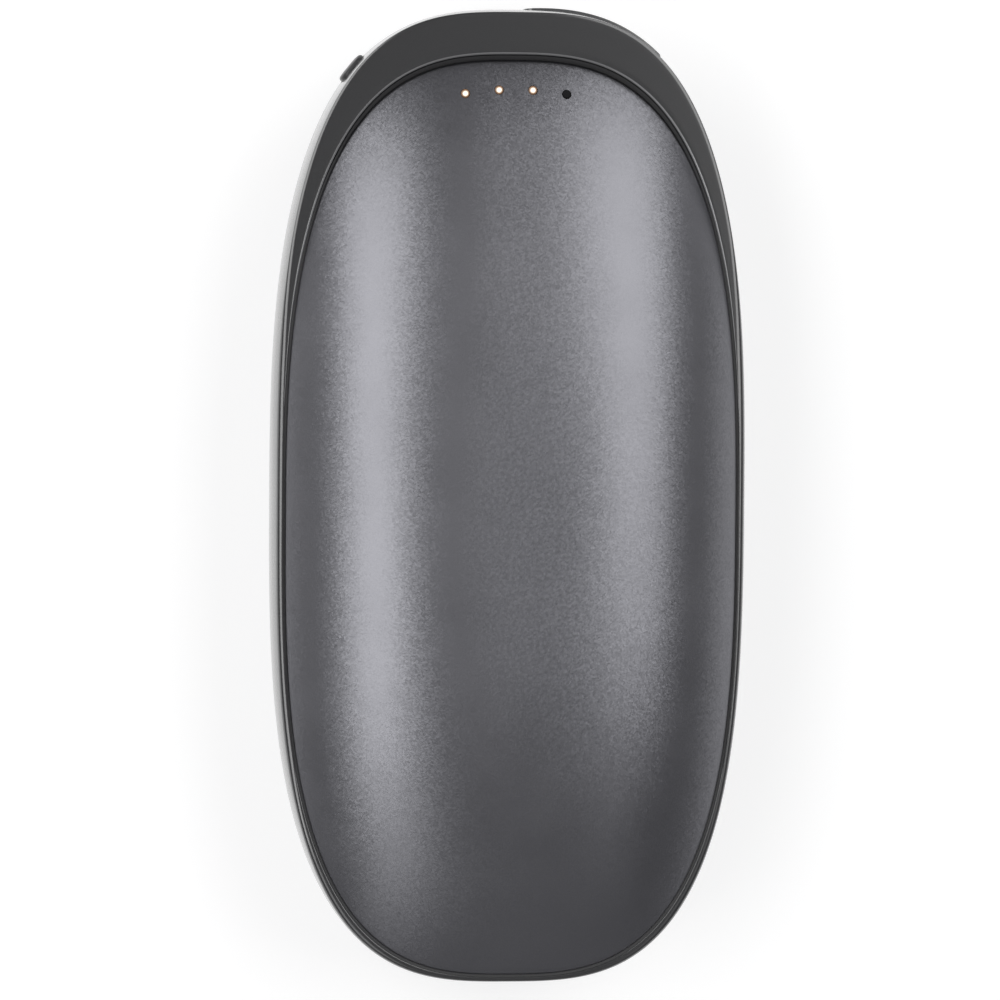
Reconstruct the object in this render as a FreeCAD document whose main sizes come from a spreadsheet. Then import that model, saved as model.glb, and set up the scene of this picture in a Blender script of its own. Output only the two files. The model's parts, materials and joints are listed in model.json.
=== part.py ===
import FreeCAD, Part
import math
import os
from types import SimpleNamespace

import Sketcher

# Rechargeable hand warmer: two domed metal shells on an oval plastic band, with a power button and a
# port cover on the band, and cells, board, heating films and charge lights inside.
# It lies on its back: X is the width, Y the length towards the charge lights, Z the thickness.
# The origin is the centre of the flat crown of the rear shell, on which it rests.

Vector = FreeCAD.Vector

# Driving dimensions: lengths in millimetres, angles in degrees, powers as plain numbers
SIZES = {
    # shells, superellipse outlines under a dome that steepens towards its rim
    "shell_half_width": 23.98,
    "shell_half_length": 48.45,
    "shell_head_power": 2.8,
    "shell_foot_power": 2.92,
    "shell_wall": 1.2,
    "shell_skirt": 1.2,
    "shell_edge_round": 0.9,
    "dome_height": 8.0,
    "dome_power": 2.35,
    # band round the shells, wider at the head, where its face shows as a crescent
    "rim_side": 1.37,
    "rim_foot": 1.15,
    "rim_head": 5.45,
    "band_head_power": 2.84,
    "band_foot_power": 3.0,
    "band_depth": 10.4,
    "band_wall": 2.0,
    "band_edge_round": 0.8,
    "brow_rise": 1.4,
    "brow_run": 36.0,
    "brow_draft": 0.7,
    "brow_step": 0.15,
    "ledge_width": 1.5,
    "ledge_thickness": 1.0,
    "groove_gap": 0.25,
    "seal_thickness": 0.4,
    "seal_gap": 0.05,
    # power button and its switch
    "button_angle": 140.7,
    "button_width": 3.4,
    "button_side_gap": 0.25,
    "button_proud": 0.6,
    "button_gap": 0.15,
    "button_lip": 0.35,
    "button_wall": 1.8,
    "button_end_gap": 0.05,
    "flange_thickness": 0.7,
    "plunger_reach": 0.6,
    "plunger_root": 0.8,
    "plunger_width": 1.8,
    "plunger_height": 0.9,
    "plunger_gap": 0.1,
    "switch_width": 4.4,
    "switch_height": 1.8,
    "switch_depth": 2.4,
    # port cover and its pin
    "port_angle": 74.3,
    "hinge_angle": 46.0,
    "cover_reach": 7.5,
    "cover_height": 6.0,
    "cover_proud": 0.35,
    "cover_sink": 0.9,
    "cover_gap": 0.15,
    "cover_corner": 1.0,
    "plug_thickness": 0.55,
    "plug_gap": 0.25,
    "plug_corner": 1.05,
    "pin_radius": 0.3,
    "pin_bite": 0.8,
    "pin_seat_gap": 0.02,
    "pin_run_gap": 0.06,
    # USB-C socket
    "usb_width": 8.94,
    "usb_height": 3.26,
    "usb_depth": 6.5,
    "usb_wall": 0.3,
    "usb_sink": 0.83,
    "usb_setback": 1.1,
    "usb_notch_gap": 0.15,
    "window_gap": 0.2,
    "tongue_width": 6.69,
    "tongue_thickness": 0.7,
    "tongue_length": 5.2,
    # main board and what it carries
    "board_thickness": 1.0,
    "board_gap": 0.4,
    "shelf_width": 6.0,
    "shelf_side": 3.0,
    "chip_width": 5.0,
    "chip_height": 0.9,
    "chip_side": 7.0,
    "chip_up": 10.2,
    "inductor_width": 6.5,
    "inductor_corner": 1.2,
    "inductor_height": 3.0,
    "inductor_side": 10.0,
    "inductor_up": 7.0,
    "capacitor_length": 2.0,
    "capacitor_width": 1.25,
    "capacitor_height": 0.9,
    "capacitor_pitch": 2.4,
    "capacitor_up": 12.0,
    "socket_width": 7.0,
    "socket_length": 2.5,
    "socket_height": 1.6,
    "socket_up": 4.6,
    # charge lights and light guide
    "light_pitch": 3.57,
    "light_drop": 3.2,
    "light_bow": 0.4,
    "light_hole": 0.5,
    "light_step": 0.9,
    "light_width": 1.6,
    "light_depth": 0.8,
    "light_height": 0.6,
    "guide_tip_radius": 0.42,
    "guide_foot_radius": 0.6,
    "guide_foot_gap": 0.1,
    "guide_tip_recess": 0.25,
    "guide_bar_width": 2.2,
    "guide_bar_height": 1.2,
    "guide_bar_drop": 2.0,
    "guide_bar_end": 1.1,
    # cells, tape, tabs, protection board and power strips
    "cell_side_margin": 7.9,
    "cell_foot_margin": 14.2,
    "cell_head_margin": 24.2,
    "cell_corner": 2.0,
    "crown_space": 6.7,
    "tape_thickness": 0.2,
    "tape_margin": 2.0,
    "tab_width": 4.0,
    "tab_thickness": 0.3,
    "tab_length": 1.5,
    "tab_side": 7.0,
    "protection_width": 22.0,
    "protection_height": 9.0,
    "protection_thickness": 1.0,
    "strip_width": 3.0,
    "strip_thickness": 0.3,
    "strip_side": 9.0,
    "strip_landing": 2.6,
    # tray and screws
    "tray_gap": 0.3,
    "tray_wall": 1.2,
    "tray_height": 7.2,
    "tray_corner": 3.0,
    "tray_board_gap": 0.4,
    "ear_reach": 2.4,
    "ear_end": 1.9,
    "ear_width": 4.4,
    "ear_low": 14.0,
    "ear_high": 16.0,
    "notch_width": 24.0,
    "notch_sink": 0.5,
    "screw_radius": 0.8,
    "screw_bite": 1.5,
    "screw_head_radius": 1.4,
    "screw_head_height": 0.8,
    "screw_fit": 0.03,
    "screw_hole_gap": 0.15,
    "screw_edge": 2.6,
    "screw_inset": 2.8,
    "boss_width": 4.4,
    "boss_tray_gap": 0.5,
    # heating films, tails, thermistors and pads
    "film_gap": 0.1,
    "film_thickness": 0.3,
    "film_margin": 1.0,
    "film_corner": 4.0,
    "film_lead": 4.0,
    "pad_gap": 0.1,
    "pad_margin": 2.0,
    "tail_width": 5.0,
    "tail_thickness": 0.25,
    "tail_bend": 1.2,
    "tail_lap": 1.4,
    "tail_gap": 0.05,
    "tail_fall": 2.2,
    "bead_width": 1.6,
    "bead_length": 3.0,
    "bead_height": 1.2,
    "bead_side": 6.0,
    "bead_lead": 1.5,
    # how far every cutting solid runs past what it cuts
    "overrun": 1.0,
}

# Share of the dome's half sizes that the flat crown in its middle takes
CROWN_SHARE = 0.3
# Corner of the power button as a share of its narrower side
BUTTON_CORNER_SHARE = 0.35
# Steps of the dome's sections from rim to crown, and points round each oval
DOME_STEPS = 6
OVAL_STEPS = 48
# Places of the charge lights across the row, as shares of the pitch
LIGHT_PITCH_SHARES = (-1.5, -0.5, 0.5, 1.5)
# Places of the capacitors across their row, as shares of their pitch
CAPACITOR_PITCH_SHARES = (-1.5, -0.5, 0.5, 1.5)
SIDES = (-1, 1)

doc = FreeCAD.newDocument("hand_warmer")
node_objects = []


def make_sheet():
    """Write the driving dimensions into the sheet and return their values by name."""
    sheet = doc.addObject("Spreadsheet::Sheet", "Sizes")
    for row, (alias, value) in enumerate(SIZES.items(), start=1):
        sheet.set(f"A{row}", alias)
        sheet.set(f"B{row}", str(value))
        sheet.setAlias(f"B{row}", alias)
    doc.recompute()
    values = {alias: float(sheet.get(alias)) for alias in SIZES}
    return SimpleNamespace(**values)


size = make_sheet()


def make_places():
    """Work out the levels and places that several pieces share."""
    place = SimpleNamespace()
    place.shell_powers = (size.shell_head_power, size.shell_foot_power)
    place.band_powers = (size.band_head_power, size.band_foot_power)
    place.band_half_width = size.shell_half_width + size.rim_side
    place.band_half_length = size.shell_half_length + (size.rim_foot + size.rim_head) / 2
    place.band_lead = (size.rim_head - size.rim_foot) / 2
    place.band_top = place.band_lead + place.band_half_length
    place.mid = size.dome_height + size.band_depth / 2
    place.groove = place.mid + size.band_depth / 2
    place.seat = size.band_depth / 2 - size.shell_skirt - size.seal_thickness
    place.channel = place.seat - size.ledge_thickness
    place.button_depth = 2 * (place.channel - size.button_lip - size.button_side_gap)
    place.button_corner = BUTTON_CORNER_SHARE * min(size.button_width, place.button_depth)
    place.board_top = place.mid - size.usb_height / 2 + size.usb_sink
    place.board_base = place.board_top - size.board_thickness
    place.boss_base = place.mid - place.seat
    place.cell_half_width = size.shell_half_width - size.cell_side_margin
    place.cell_foot = size.cell_foot_margin - size.shell_half_length
    place.cell_head = size.shell_half_length - size.cell_head_margin
    place.cell_middle = (place.cell_foot + place.cell_head) / 2
    place.cell_length = place.cell_head - place.cell_foot
    place.stack_half = size.band_depth / 2 + size.dome_height - size.crown_space
    place.protection_face = place.cell_head + size.tab_length
    place.protection_back = place.protection_face + size.protection_thickness
    place.tray_half_width = place.cell_half_width + size.tray_gap + size.tray_wall
    place.tray_foot = place.cell_foot - size.tray_gap - size.tray_wall
    place.tray_head = place.protection_back + size.tray_gap + size.tray_wall
    place.tray_middle = (place.tray_foot + place.tray_head) / 2
    place.board_low = place.tray_head + size.tray_board_gap
    place.film_head = place.cell_head + size.film_lead
    place.film_inner = size.shell_wall + size.film_gap + size.film_thickness
    place.switch_face = size.button_wall + size.button_end_gap + size.flange_thickness + size.plunger_reach
    place.usb_mouth = size.cover_sink + size.usb_setback
    place.usb_back = place.usb_mouth + size.usb_depth
    return place


place = make_places()


# Outlines by formula

def power_at(along, powers):
    """Power of an oval on its head half or on its foot half."""
    head_power, foot_power = powers
    return head_power if along > 0 else foot_power


def oval_point(half_width, half_length, powers, turn, level=0, centre=0):
    """Point of a superellipse at a turn round its centre."""
    across = math.cos(turn)
    along = math.sin(turn)
    power = power_at(along, powers)
    stretch = (abs(across) ** power + abs(along) ** power) ** (-1 / power)
    return Vector(half_width * stretch * across, centre + half_length * stretch * along, level)


def oval_wire(half_width, half_length, powers, level, centre=0):
    """Closed smooth curve through the points of a superellipse."""
    turns = [2 * math.pi * step / OVAL_STEPS for step in range(OVAL_STEPS)]
    points = [oval_point(half_width, half_length, powers, turn, level, centre) for turn in turns]
    curve = Part.BSplineCurve()
    curve.interpolate(points, PeriodicFlag=True)
    return Part.Wire([curve.toShape()])


def shell_wire(grow, level, scale=1):
    half_width = (size.shell_half_width + grow) * scale
    half_length = (size.shell_half_length + grow) * scale
    return oval_wire(half_width, half_length, place.shell_powers, level)


def band_wire(grow, level):
    half_width = place.band_half_width + grow
    half_length = place.band_half_length + grow
    return oval_wire(half_width, half_length, place.band_powers, level, place.band_lead)


def prism(wire, height):
    return Part.Face(wire).extrude(Vector(0, 0, height))


def shell_prism(grow, low, high):
    return prism(shell_wire(grow, low), high - low)


def band_prism(grow, low, high):
    return prism(band_wire(grow, low), high - low)


def band_half_width_at(level_y, grow):
    """Half width of the grown band outline at a place along its length."""
    half_width = place.band_half_width + grow
    half_length = place.band_half_length + grow
    along = (level_y - place.band_lead) / half_length
    power = power_at(along, place.band_powers)
    return half_width * (1 - abs(along) ** power) ** (1 / power)


def band_place(angle):
    """Point of the band's outline whose outward normal has the given angle."""
    across = math.cos(math.radians(angle))
    along = math.sin(math.radians(angle))
    power = power_at(along, place.band_powers)
    ratio = place.band_half_width * abs(across) / (place.band_half_length * abs(along))
    slant = ratio ** (1 / (power - 1))
    high_share = (1 + slant ** power) ** (-1 / power)
    x = math.copysign(place.band_half_width * slant * high_share, across)
    y = place.band_lead + math.copysign(place.band_half_length * high_share, along)
    return Vector(x, y, place.mid)


def band_frame(angle, depth=0, level=None):
    """Placement on the band: local X along it, local Y up, local Z outward from the given depth."""
    outward = Vector(math.cos(math.radians(angle)), math.sin(math.radians(angle)), 0)
    along = Vector(-outward.y, outward.x, 0)
    base = band_place(angle) - outward * depth
    if level is not None:
        base.z = level
    return FreeCAD.Placement(base, FreeCAD.Rotation(along, Vector(0, 0, 1), outward, "ZYX"))


def crown_drop(share, inset):
    """Drop of a dome below its flat crown, slow at first and steepest at the rim."""
    return (size.dome_height - inset) * share ** size.dome_power


def dome_level(x, y, inset):
    """Height of the front dome, or of a smaller dome inside it, above a point."""
    half_width = size.shell_half_width - inset
    half_length = size.shell_half_length - inset
    power = power_at(y, place.shell_powers)
    ring = (abs(x / half_width) ** power + abs(y / half_length) ** power) ** (1 / power)
    slope_share = max(0, (ring - CROWN_SHARE) / (1 - CROWN_SHARE))
    return place.groove + size.dome_height - inset - crown_drop(slope_share, inset)


# Solids by formula

def dome_solid(inset):
    """Solid under the front dome, or under a smaller dome inside it."""
    wires = []
    for step in range(DOME_STEPS + 1):
        slope_share = 1 - step / DOME_STEPS
        scale = CROWN_SHARE + (1 - CROWN_SHARE) * slope_share
        level = place.groove + size.dome_height - inset - crown_drop(slope_share, inset)
        wires.append(shell_wire(-inset, level, scale))
    return Part.makeLoft(wires, True, False)


def block(width, length, height, corner=0):
    """Box centred on X and Y and standing on its base, its upright edges rounded."""
    solid = Part.makeBox(width, length, height, Vector(-width / 2, -length / 2, 0))
    if corner > 0:
        uprights = [edge for edge in solid.Edges if edge.BoundBox.ZLength > height / 2]
        solid = solid.makeFillet(corner, uprights)
    return solid


def placed(solid, placement):
    moved = solid.copy()
    moved.Placement = placement.multiply(moved.Placement)
    return moved


def moved_to(solid, x, y, z):
    return placed(solid, FreeCAD.Placement(Vector(x, y, z), FreeCAD.Rotation()))


def turned_over(solid):
    """Mirror image of a front piece at the back."""
    return solid.mirror(Vector(0, 0, place.mid), Vector(0, 0, 1))


# Document objects

def keep(item, label):
    item.Label = label
    node_objects.append(item)
    return item


def add_shape(label, shape):
    """Sub-part whose outline comes from a formula."""
    feature = doc.addObject("Part::Feature", label)
    feature.Shape = shape
    feature.Placement = FreeCAD.Placement()
    return keep(feature, label)


def bind(item, **expressions):
    for name, expression in expressions.items():
        item.setExpression(name, expression)


def add_box(name, length, width, height, x, y, z, frame=None):
    """Box of bound sizes, centred on X and Y at a place and standing on its level."""
    solid = doc.addObject("Part::Box", name)
    bind(solid, Length=length, Width=width, Height=height)
    doc.recompute()
    corner = Vector(x - solid.Length.Value / 2, y - solid.Width.Value / 2, z)
    placement = FreeCAD.Placement(corner, FreeCAD.Rotation())
    solid.Placement = frame.multiply(placement) if frame else placement
    return solid


def add_cylinder(name, radius, height, x, y, z):
    solid = doc.addObject("Part::Cylinder", name)
    bind(solid, Radius=radius, Height=height)
    solid.Placement = FreeCAD.Placement(Vector(x, y, z), FreeCAD.Rotation())
    return solid


def add_compound(label, links):
    group = doc.addObject("Part::Compound", label)
    group.Links = links
    return keep(group, label)


def add_fuse(name, shapes):
    fuse = doc.addObject("Part::MultiFuse", name)
    fuse.Shapes = shapes
    return fuse


def add_body(label, placement):
    body = doc.addObject("PartDesign::Body", label)
    body.Placement = placement
    return keep(body, label)


def add_sketch(body, name, level=None):
    """Sketch on the body's own base plane, raised to a level given as an expression."""
    sketch = body.newObject("Sketcher::SketchObject", name)
    planes = [plane for plane in body.Origin.OriginFeatures if plane.Role == "XY_Plane"]
    sketch.AttachmentSupport = [(planes[0], "")]
    sketch.MapMode = "FlatFace"
    if level:
        sketch.setExpression("AttachmentOffset.Base.z", level)
    return sketch


def drive(sketch, constraint, expression):
    index = sketch.addConstraint(constraint)
    sketch.setExpression(f"Constraints[{index}]", expression)


def draw_rectangle(sketch, width, length, rise=None):
    """Rectangle of bound sizes, centred on the sketch or raised along its Y."""
    half_width = sketch.evalExpression(width) / 2
    half_length = sketch.evalExpression(length) / 2
    middle = sketch.evalExpression(rise) if rise else 0
    corners = [
        Vector(-half_width, middle - half_length, 0),
        Vector(half_width, middle - half_length, 0),
        Vector(half_width, middle + half_length, 0),
        Vector(-half_width, middle + half_length, 0),
    ]
    lines = []
    for index in range(4):
        lines.append(sketch.addGeometry(Part.LineSegment(corners[index], corners[(index + 1) % 4])))
    for index in range(4):
        sketch.addConstraint(Sketcher.Constraint("Coincident", lines[index], 2, lines[(index + 1) % 4], 1))
        level = "Horizontal" if index % 2 == 0 else "Vertical"
        sketch.addConstraint(Sketcher.Constraint(level, lines[index]))
    centre = (-1, 1)
    if rise:
        point = sketch.addGeometry(Part.Point(Vector(0, middle, 0)))
        sketch.addConstraint(Sketcher.Constraint("PointOnObject", point, 1, -2))
        drive(sketch, Sketcher.Constraint("DistanceY", -1, 1, point, 1, middle), rise)
        centre = (point, 1)
    sketch.addConstraint(Sketcher.Constraint("Symmetric", lines[0], 1, lines[1], 2, *centre))
    drive(sketch, Sketcher.Constraint("DistanceX", lines[0], 1, lines[0], 2, 2 * half_width), width)
    drive(sketch, Sketcher.Constraint("DistanceY", lines[1], 1, lines[1], 2, 2 * half_length), length)


def draw_rounded(sketch, width, length, corner):
    """Rectangle of bound sizes with bound round corners, centred on the sketch."""
    half_width = sketch.evalExpression(width) / 2
    half_length = sketch.evalExpression(length) / 2
    radius = sketch.evalExpression(corner)
    inner_x = half_width - radius
    inner_y = half_length - radius
    # Each side runs to the arc after it, anticlockwise from the lower side
    side_ends = [
        (Vector(-inner_x, -half_length, 0), Vector(inner_x, -half_length, 0)),
        (Vector(half_width, -inner_y, 0), Vector(half_width, inner_y, 0)),
        (Vector(inner_x, half_length, 0), Vector(-inner_x, half_length, 0)),
        (Vector(-half_width, inner_y, 0), Vector(-half_width, -inner_y, 0)),
    ]
    arc_centres = [
        Vector(inner_x, -inner_y, 0),
        Vector(inner_x, inner_y, 0),
        Vector(-inner_x, inner_y, 0),
        Vector(-inner_x, -inner_y, 0),
    ]
    lines = []
    arcs = []
    for index in range(4):
        lines.append(sketch.addGeometry(Part.LineSegment(*side_ends[index])))
        circle = Part.Circle(arc_centres[index], Vector(0, 0, 1), radius)
        start = (index - 1) * math.pi / 2
        arcs.append(sketch.addGeometry(Part.ArcOfCircle(circle, start, start + math.pi / 2)))
    for index in range(4):
        sketch.addConstraint(Sketcher.Constraint("Tangent", lines[index], 2, arcs[index], 1))
        sketch.addConstraint(Sketcher.Constraint("Tangent", arcs[index], 2, lines[(index + 1) % 4], 1))
        level = "Horizontal" if index % 2 == 0 else "Vertical"
        sketch.addConstraint(Sketcher.Constraint(level, lines[index]))
    for index in range(1, 4):
        sketch.addConstraint(Sketcher.Constraint("Equal", arcs[0], arcs[index]))
    drive(sketch, Sketcher.Constraint("Radius", arcs[0], radius), corner)
    sketch.addConstraint(Sketcher.Constraint("Symmetric", arcs[0], 3, arcs[2], 3, -1, 1))
    drive(sketch, Sketcher.Constraint("DistanceX", lines[3], 1, lines[1], 1, 2 * half_width), width)
    drive(sketch, Sketcher.Constraint("DistanceY", lines[0], 1, lines[2], 1, 2 * half_length), length)


def draw_stadium(sketch, width, height):
    """Slot outline with full round ends, of bound sizes and centred on the sketch."""
    half_width = sketch.evalExpression(width) / 2
    radius = sketch.evalExpression(height) / 2
    reach = half_width - radius
    lower = sketch.addGeometry(Part.LineSegment(Vector(-reach, -radius, 0), Vector(reach, -radius, 0)))
    right_circle = Part.Circle(Vector(reach, 0, 0), Vector(0, 0, 1), radius)
    right = sketch.addGeometry(Part.ArcOfCircle(right_circle, -math.pi / 2, math.pi / 2))
    upper = sketch.addGeometry(Part.LineSegment(Vector(reach, radius, 0), Vector(-reach, radius, 0)))
    left_circle = Part.Circle(Vector(-reach, 0, 0), Vector(0, 0, 1), radius)
    left = sketch.addGeometry(Part.ArcOfCircle(left_circle, math.pi / 2, 3 * math.pi / 2))
    ring = [lower, right, upper, left]
    for index in range(4):
        sketch.addConstraint(Sketcher.Constraint("Tangent", ring[index], 2, ring[(index + 1) % 4], 1))
    sketch.addConstraint(Sketcher.Constraint("Horizontal", lower))
    sketch.addConstraint(Sketcher.Constraint("Symmetric", right, 3, left, 3, -1, 1))
    drive(sketch, Sketcher.Constraint("Radius", right, radius), f"({height}) / 2")
    drive(sketch, Sketcher.Constraint("DistanceX", left, 3, right, 3, 2 * reach), f"({width}) - ({height})")


def pad(body, sketch, length):
    feature = body.newObject("PartDesign::Pad", sketch.Name + "_pad")
    feature.Profile = sketch
    bind(feature, Length=length)
    doc.recompute()
    return feature


def pocket(body, sketch, length):
    """Cut upwards from the sketch, and stop if nothing was cut."""
    before = body.Shape.Volume
    feature = body.newObject("PartDesign::Pocket", sketch.Name + "_pocket")
    feature.Profile = sketch
    feature.Reversed = True
    bind(feature, Length=length)
    doc.recompute()
    if body.Shape.Volume >= before:
        raise RuntimeError(f"{feature.Name} cuts nothing")
    return feature


# Shells, seals and band

def light_places():
    """Places of the four charge lights on the front shell, in a shallow bow."""
    places = []
    for share in LIGHT_PITCH_SHARES:
        drop = size.light_drop + (size.light_bow if abs(share) > 1 else 0)
        places.append((share * size.light_pitch, size.shell_half_length - drop))
    return places


def plain_shell():
    """Metal shell: a domed cover with a rounded rim and a short straight skirt."""
    low = place.groove - size.shell_skirt
    outer = dome_solid(0).fuse(shell_prism(0, low, place.groove))
    rim = [edge for edge in outer.Edges if is_level(edge, place.groove)]
    outer = outer.makeFillet(size.shell_edge_round, rim)
    hollow_skirt = shell_prism(-size.shell_wall, low - size.overrun, place.groove)
    inner = dome_solid(size.shell_wall).fuse(hollow_skirt)
    return outer.cut(inner)


def is_level(edge, level):
    """True for an edge that lies flat at a level, to within half a wall."""
    box = edge.BoundBox
    return max(abs(box.ZMin - level), abs(box.ZMax - level)) < size.shell_wall / 2


def make_shells():
    shell = plain_shell()
    holes = []
    for x, y in light_places():
        holes.append(Part.makeCylinder(size.light_hole, size.dome_height, Vector(x, y, place.groove)))
    add_shape("front_shell", shell.cut(holes))
    add_shape("rear_shell", turned_over(shell))


def make_seals():
    """Flat sealing rings between the shells' skirts and the ledges of the band."""
    low = place.mid + place.seat
    high = low + size.seal_thickness
    outer = shell_prism(size.groove_gap - size.seal_gap, low, high)
    inner = shell_prism(-size.ledge_width, low - size.overrun, high + size.overrun)
    seal = outer.cut(inner)
    add_shape("front_seal", seal)
    add_shape("rear_seal", turned_over(seal))


def brow_cutter():
    """Solid in front of the band: flat over the foot, then rising along an arc to the brow at the head."""
    start = place.band_top - size.brow_run
    foot = place.band_lead - place.band_half_length - size.overrun
    head = place.band_top + size.overrun
    high = place.groove + size.dome_height
    radius = (size.brow_run ** 2 + size.brow_rise ** 2) / (2 * size.brow_rise)
    reach = place.band_half_width + size.overrun

    def arc_point(y):
        drop = math.sqrt(radius ** 2 - (y - start) ** 2)
        return Vector(-reach, y, place.groove + radius - drop)

    points = [Vector(-reach, foot, place.groove), Vector(-reach, start, place.groove)]
    arc_end = arc_point(head)
    top_points = [Vector(-reach, head, high), Vector(-reach, foot, high)]
    edges = [
        Part.LineSegment(*points).toShape(),
        Part.Arc(points[1], arc_point((start + head) / 2), arc_end).toShape(),
        Part.LineSegment(arc_end, top_points[0]).toShape(),
        Part.LineSegment(*top_points).toShape(),
        Part.LineSegment(top_points[1], points[0]).toShape(),
    ]
    return Part.Face(Part.Wire(edges)).extrude(Vector(2 * reach, 0, 0))


def band_blank():
    """Band before it is hollowed, with both outer edges rounded."""
    reach = size.band_depth / 2 + size.brow_rise
    cutter = brow_cutter()
    blank = band_prism(0, place.mid - reach, place.mid + reach)
    blank = blank.cut([cutter, turned_over(cutter)])
    rims = [edge for edge in blank.Edges if not isinstance(edge.Curve, Part.Line)]
    return blank.makeFillet(size.band_edge_round, rims)


def seat_cutter():
    """Room for the front shell: straight beside the skirt, then flaring through the brow."""
    step = place.groove + size.brow_step
    straight = shell_prism(size.groove_gap, place.mid + place.seat, step)
    rise = size.brow_rise + size.overrun
    flare = size.groove_gap + size.brow_draft * rise / size.brow_rise
    wires = [shell_wire(size.groove_gap, step), shell_wire(flare, step + rise)]
    return straight.fuse(Part.makeLoft(wires, True, True))


def screw_places():
    """Places of the screws: two through the board, four through the ears of the tray."""
    board_y = place.board_low + size.screw_edge
    board_x = band_half_width_at(board_y, -size.band_wall) - size.screw_inset
    ear_x = place.tray_half_width + size.ear_reach
    rows = [
        (board_x, board_y),
        (ear_x, place.tray_middle - size.ear_low),
        (ear_x, place.tray_middle + size.ear_high),
    ]
    return [(side * x, y) for x, y in rows for side in SIDES]


def band_bosses():
    """Bosses that reach inwards from the band under the board and the tray's ears, and the board's shelf."""
    height = place.board_base - place.boss_base
    limit = band_prism(-size.band_wall / 2, place.boss_base, place.board_base)
    bosses = []
    for x, y in screw_places():
        inner = abs(x) - size.boss_width / 2
        if y < place.board_low:
            inner = place.tray_half_width + size.boss_tray_gap
        length = place.band_half_width - inner
        middle = math.copysign((inner + place.band_half_width) / 2, x)
        boss = moved_to(block(length, size.boss_width, height), middle, y, place.boss_base)
        bosses.append(boss.common(limit))
    low = size.shell_half_length - size.ledge_width - size.overrun
    shelf = block(size.shelf_width, place.band_top - low, height)
    shelf = moved_to(shelf, -size.shelf_side, (place.band_top + low) / 2, place.boss_base)
    bosses.append(shelf.common(limit))
    return bosses


def hinge_frame():
    """Placement of the port cover's pin: in the middle of the cover's thickness, at its right end."""
    return band_frame(size.hinge_angle, (size.cover_sink - size.cover_proud) / 2)


def cover_slab(gap, outer_grow, inner_grow):
    """Curved strip along the band, from the pin to the free end of the port cover."""
    reach = size.cover_height / 2 + gap
    low = place.mid - reach
    high = place.mid + reach
    ring = band_prism(outer_grow, low, high).cut(band_prism(inner_grow, low, high))
    span = place.band_half_width
    window = block(span, 2 * reach, span)
    past_pin = placed(moved_to(window, span / 2, 0, -span / 2), hinge_frame())
    before_end = moved_to(window, size.cover_reach + gap - span / 2, 0, -span / 2)
    return ring.common(past_pin).common(placed(before_end, band_frame(size.port_angle)))


def band_cuts():
    """Openings of the band for the button, the port cover, its pin, the socket and the screws."""
    gap = 2 * size.button_gap
    hole = block(size.button_width + gap, place.button_depth + gap, size.button_wall + 2 * size.overrun,
                 place.button_corner + size.button_gap)
    cuts = [placed(hole, band_frame(size.button_angle, size.button_wall + size.overrun))]
    flange_room = 2 * (size.button_lip + size.button_gap + size.button_gap)
    flat = block(size.button_width + flange_room, 2 * place.channel, size.band_wall)
    cuts.append(placed(flat, band_frame(size.button_angle, size.button_wall + size.band_wall)))
    cuts.append(cover_slab(size.cover_gap, size.cover_proud + size.overrun,
                           -size.cover_sink - size.cover_gap))
    pin = hinge_frame().Base
    bead_radius = (size.cover_proud + size.cover_sink) / 2 + size.cover_gap
    bead_height = size.cover_height + 2 * size.cover_gap
    cuts.append(Part.makeCylinder(bead_radius, bead_height, pin - Vector(0, 0, bead_height / 2)))
    pin_height = size.cover_height + 2 * size.pin_bite
    pin_base = pin - Vector(0, 0, pin_height / 2)
    cuts.append(Part.makeCylinder(size.pin_radius + size.pin_seat_gap, pin_height, pin_base))
    width = size.usb_width + 2 * size.window_gap
    height = size.usb_height + 2 * size.window_gap
    depth = size.band_wall + 2 * size.overrun
    window = block(width, height, depth, size.usb_height / 2)
    cuts.append(placed(window, band_frame(size.port_angle, size.band_wall + size.overrun)))
    for x, y in screw_places():
        base = Vector(x, y, place.boss_base - size.overrun)
        cuts.append(Part.makeCylinder(size.screw_radius + size.screw_fit, size.band_depth, base))
    return cuts


def make_band():
    reach = size.band_depth / 2 + size.brow_rise + size.overrun
    seat = seat_cutter()
    opening = shell_prism(-size.ledge_width, place.mid - reach, place.mid + reach)
    channel = band_prism(-size.band_wall, place.mid - place.channel, place.mid + place.channel)
    band = band_blank().cut([seat, turned_over(seat), opening, channel])
    band = band.fuse(band_bosses())
    add_shape("mid_frame", band.cut(band_cuts()))


# Power button and switch

def make_button():
    root = size.button_wall + size.button_end_gap + size.flange_thickness
    body = add_body("power_button", band_frame(size.button_angle, root))
    channel = "Sizes.band_depth / 2 - Sizes.shell_skirt - Sizes.seal_thickness - Sizes.ledge_thickness"
    depth = f"2 * ({channel} - Sizes.button_lip - Sizes.button_side_gap)"
    corner = f"{BUTTON_CORNER_SHARE} * min(Sizes.button_width; {depth})"
    flange = add_sketch(body, "button_flange")
    draw_rounded(flange, "Sizes.button_width + 2 * Sizes.button_lip",
                 f"{depth} + 2 * Sizes.button_lip", corner)
    pad(body, flange, "Sizes.flange_thickness")
    cap = add_sketch(body, "button_cap")
    draw_rounded(cap, "Sizes.button_width", depth, corner)
    pad(body, cap, "Sizes.flange_thickness + Sizes.button_end_gap + Sizes.button_wall + Sizes.button_proud")


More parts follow.
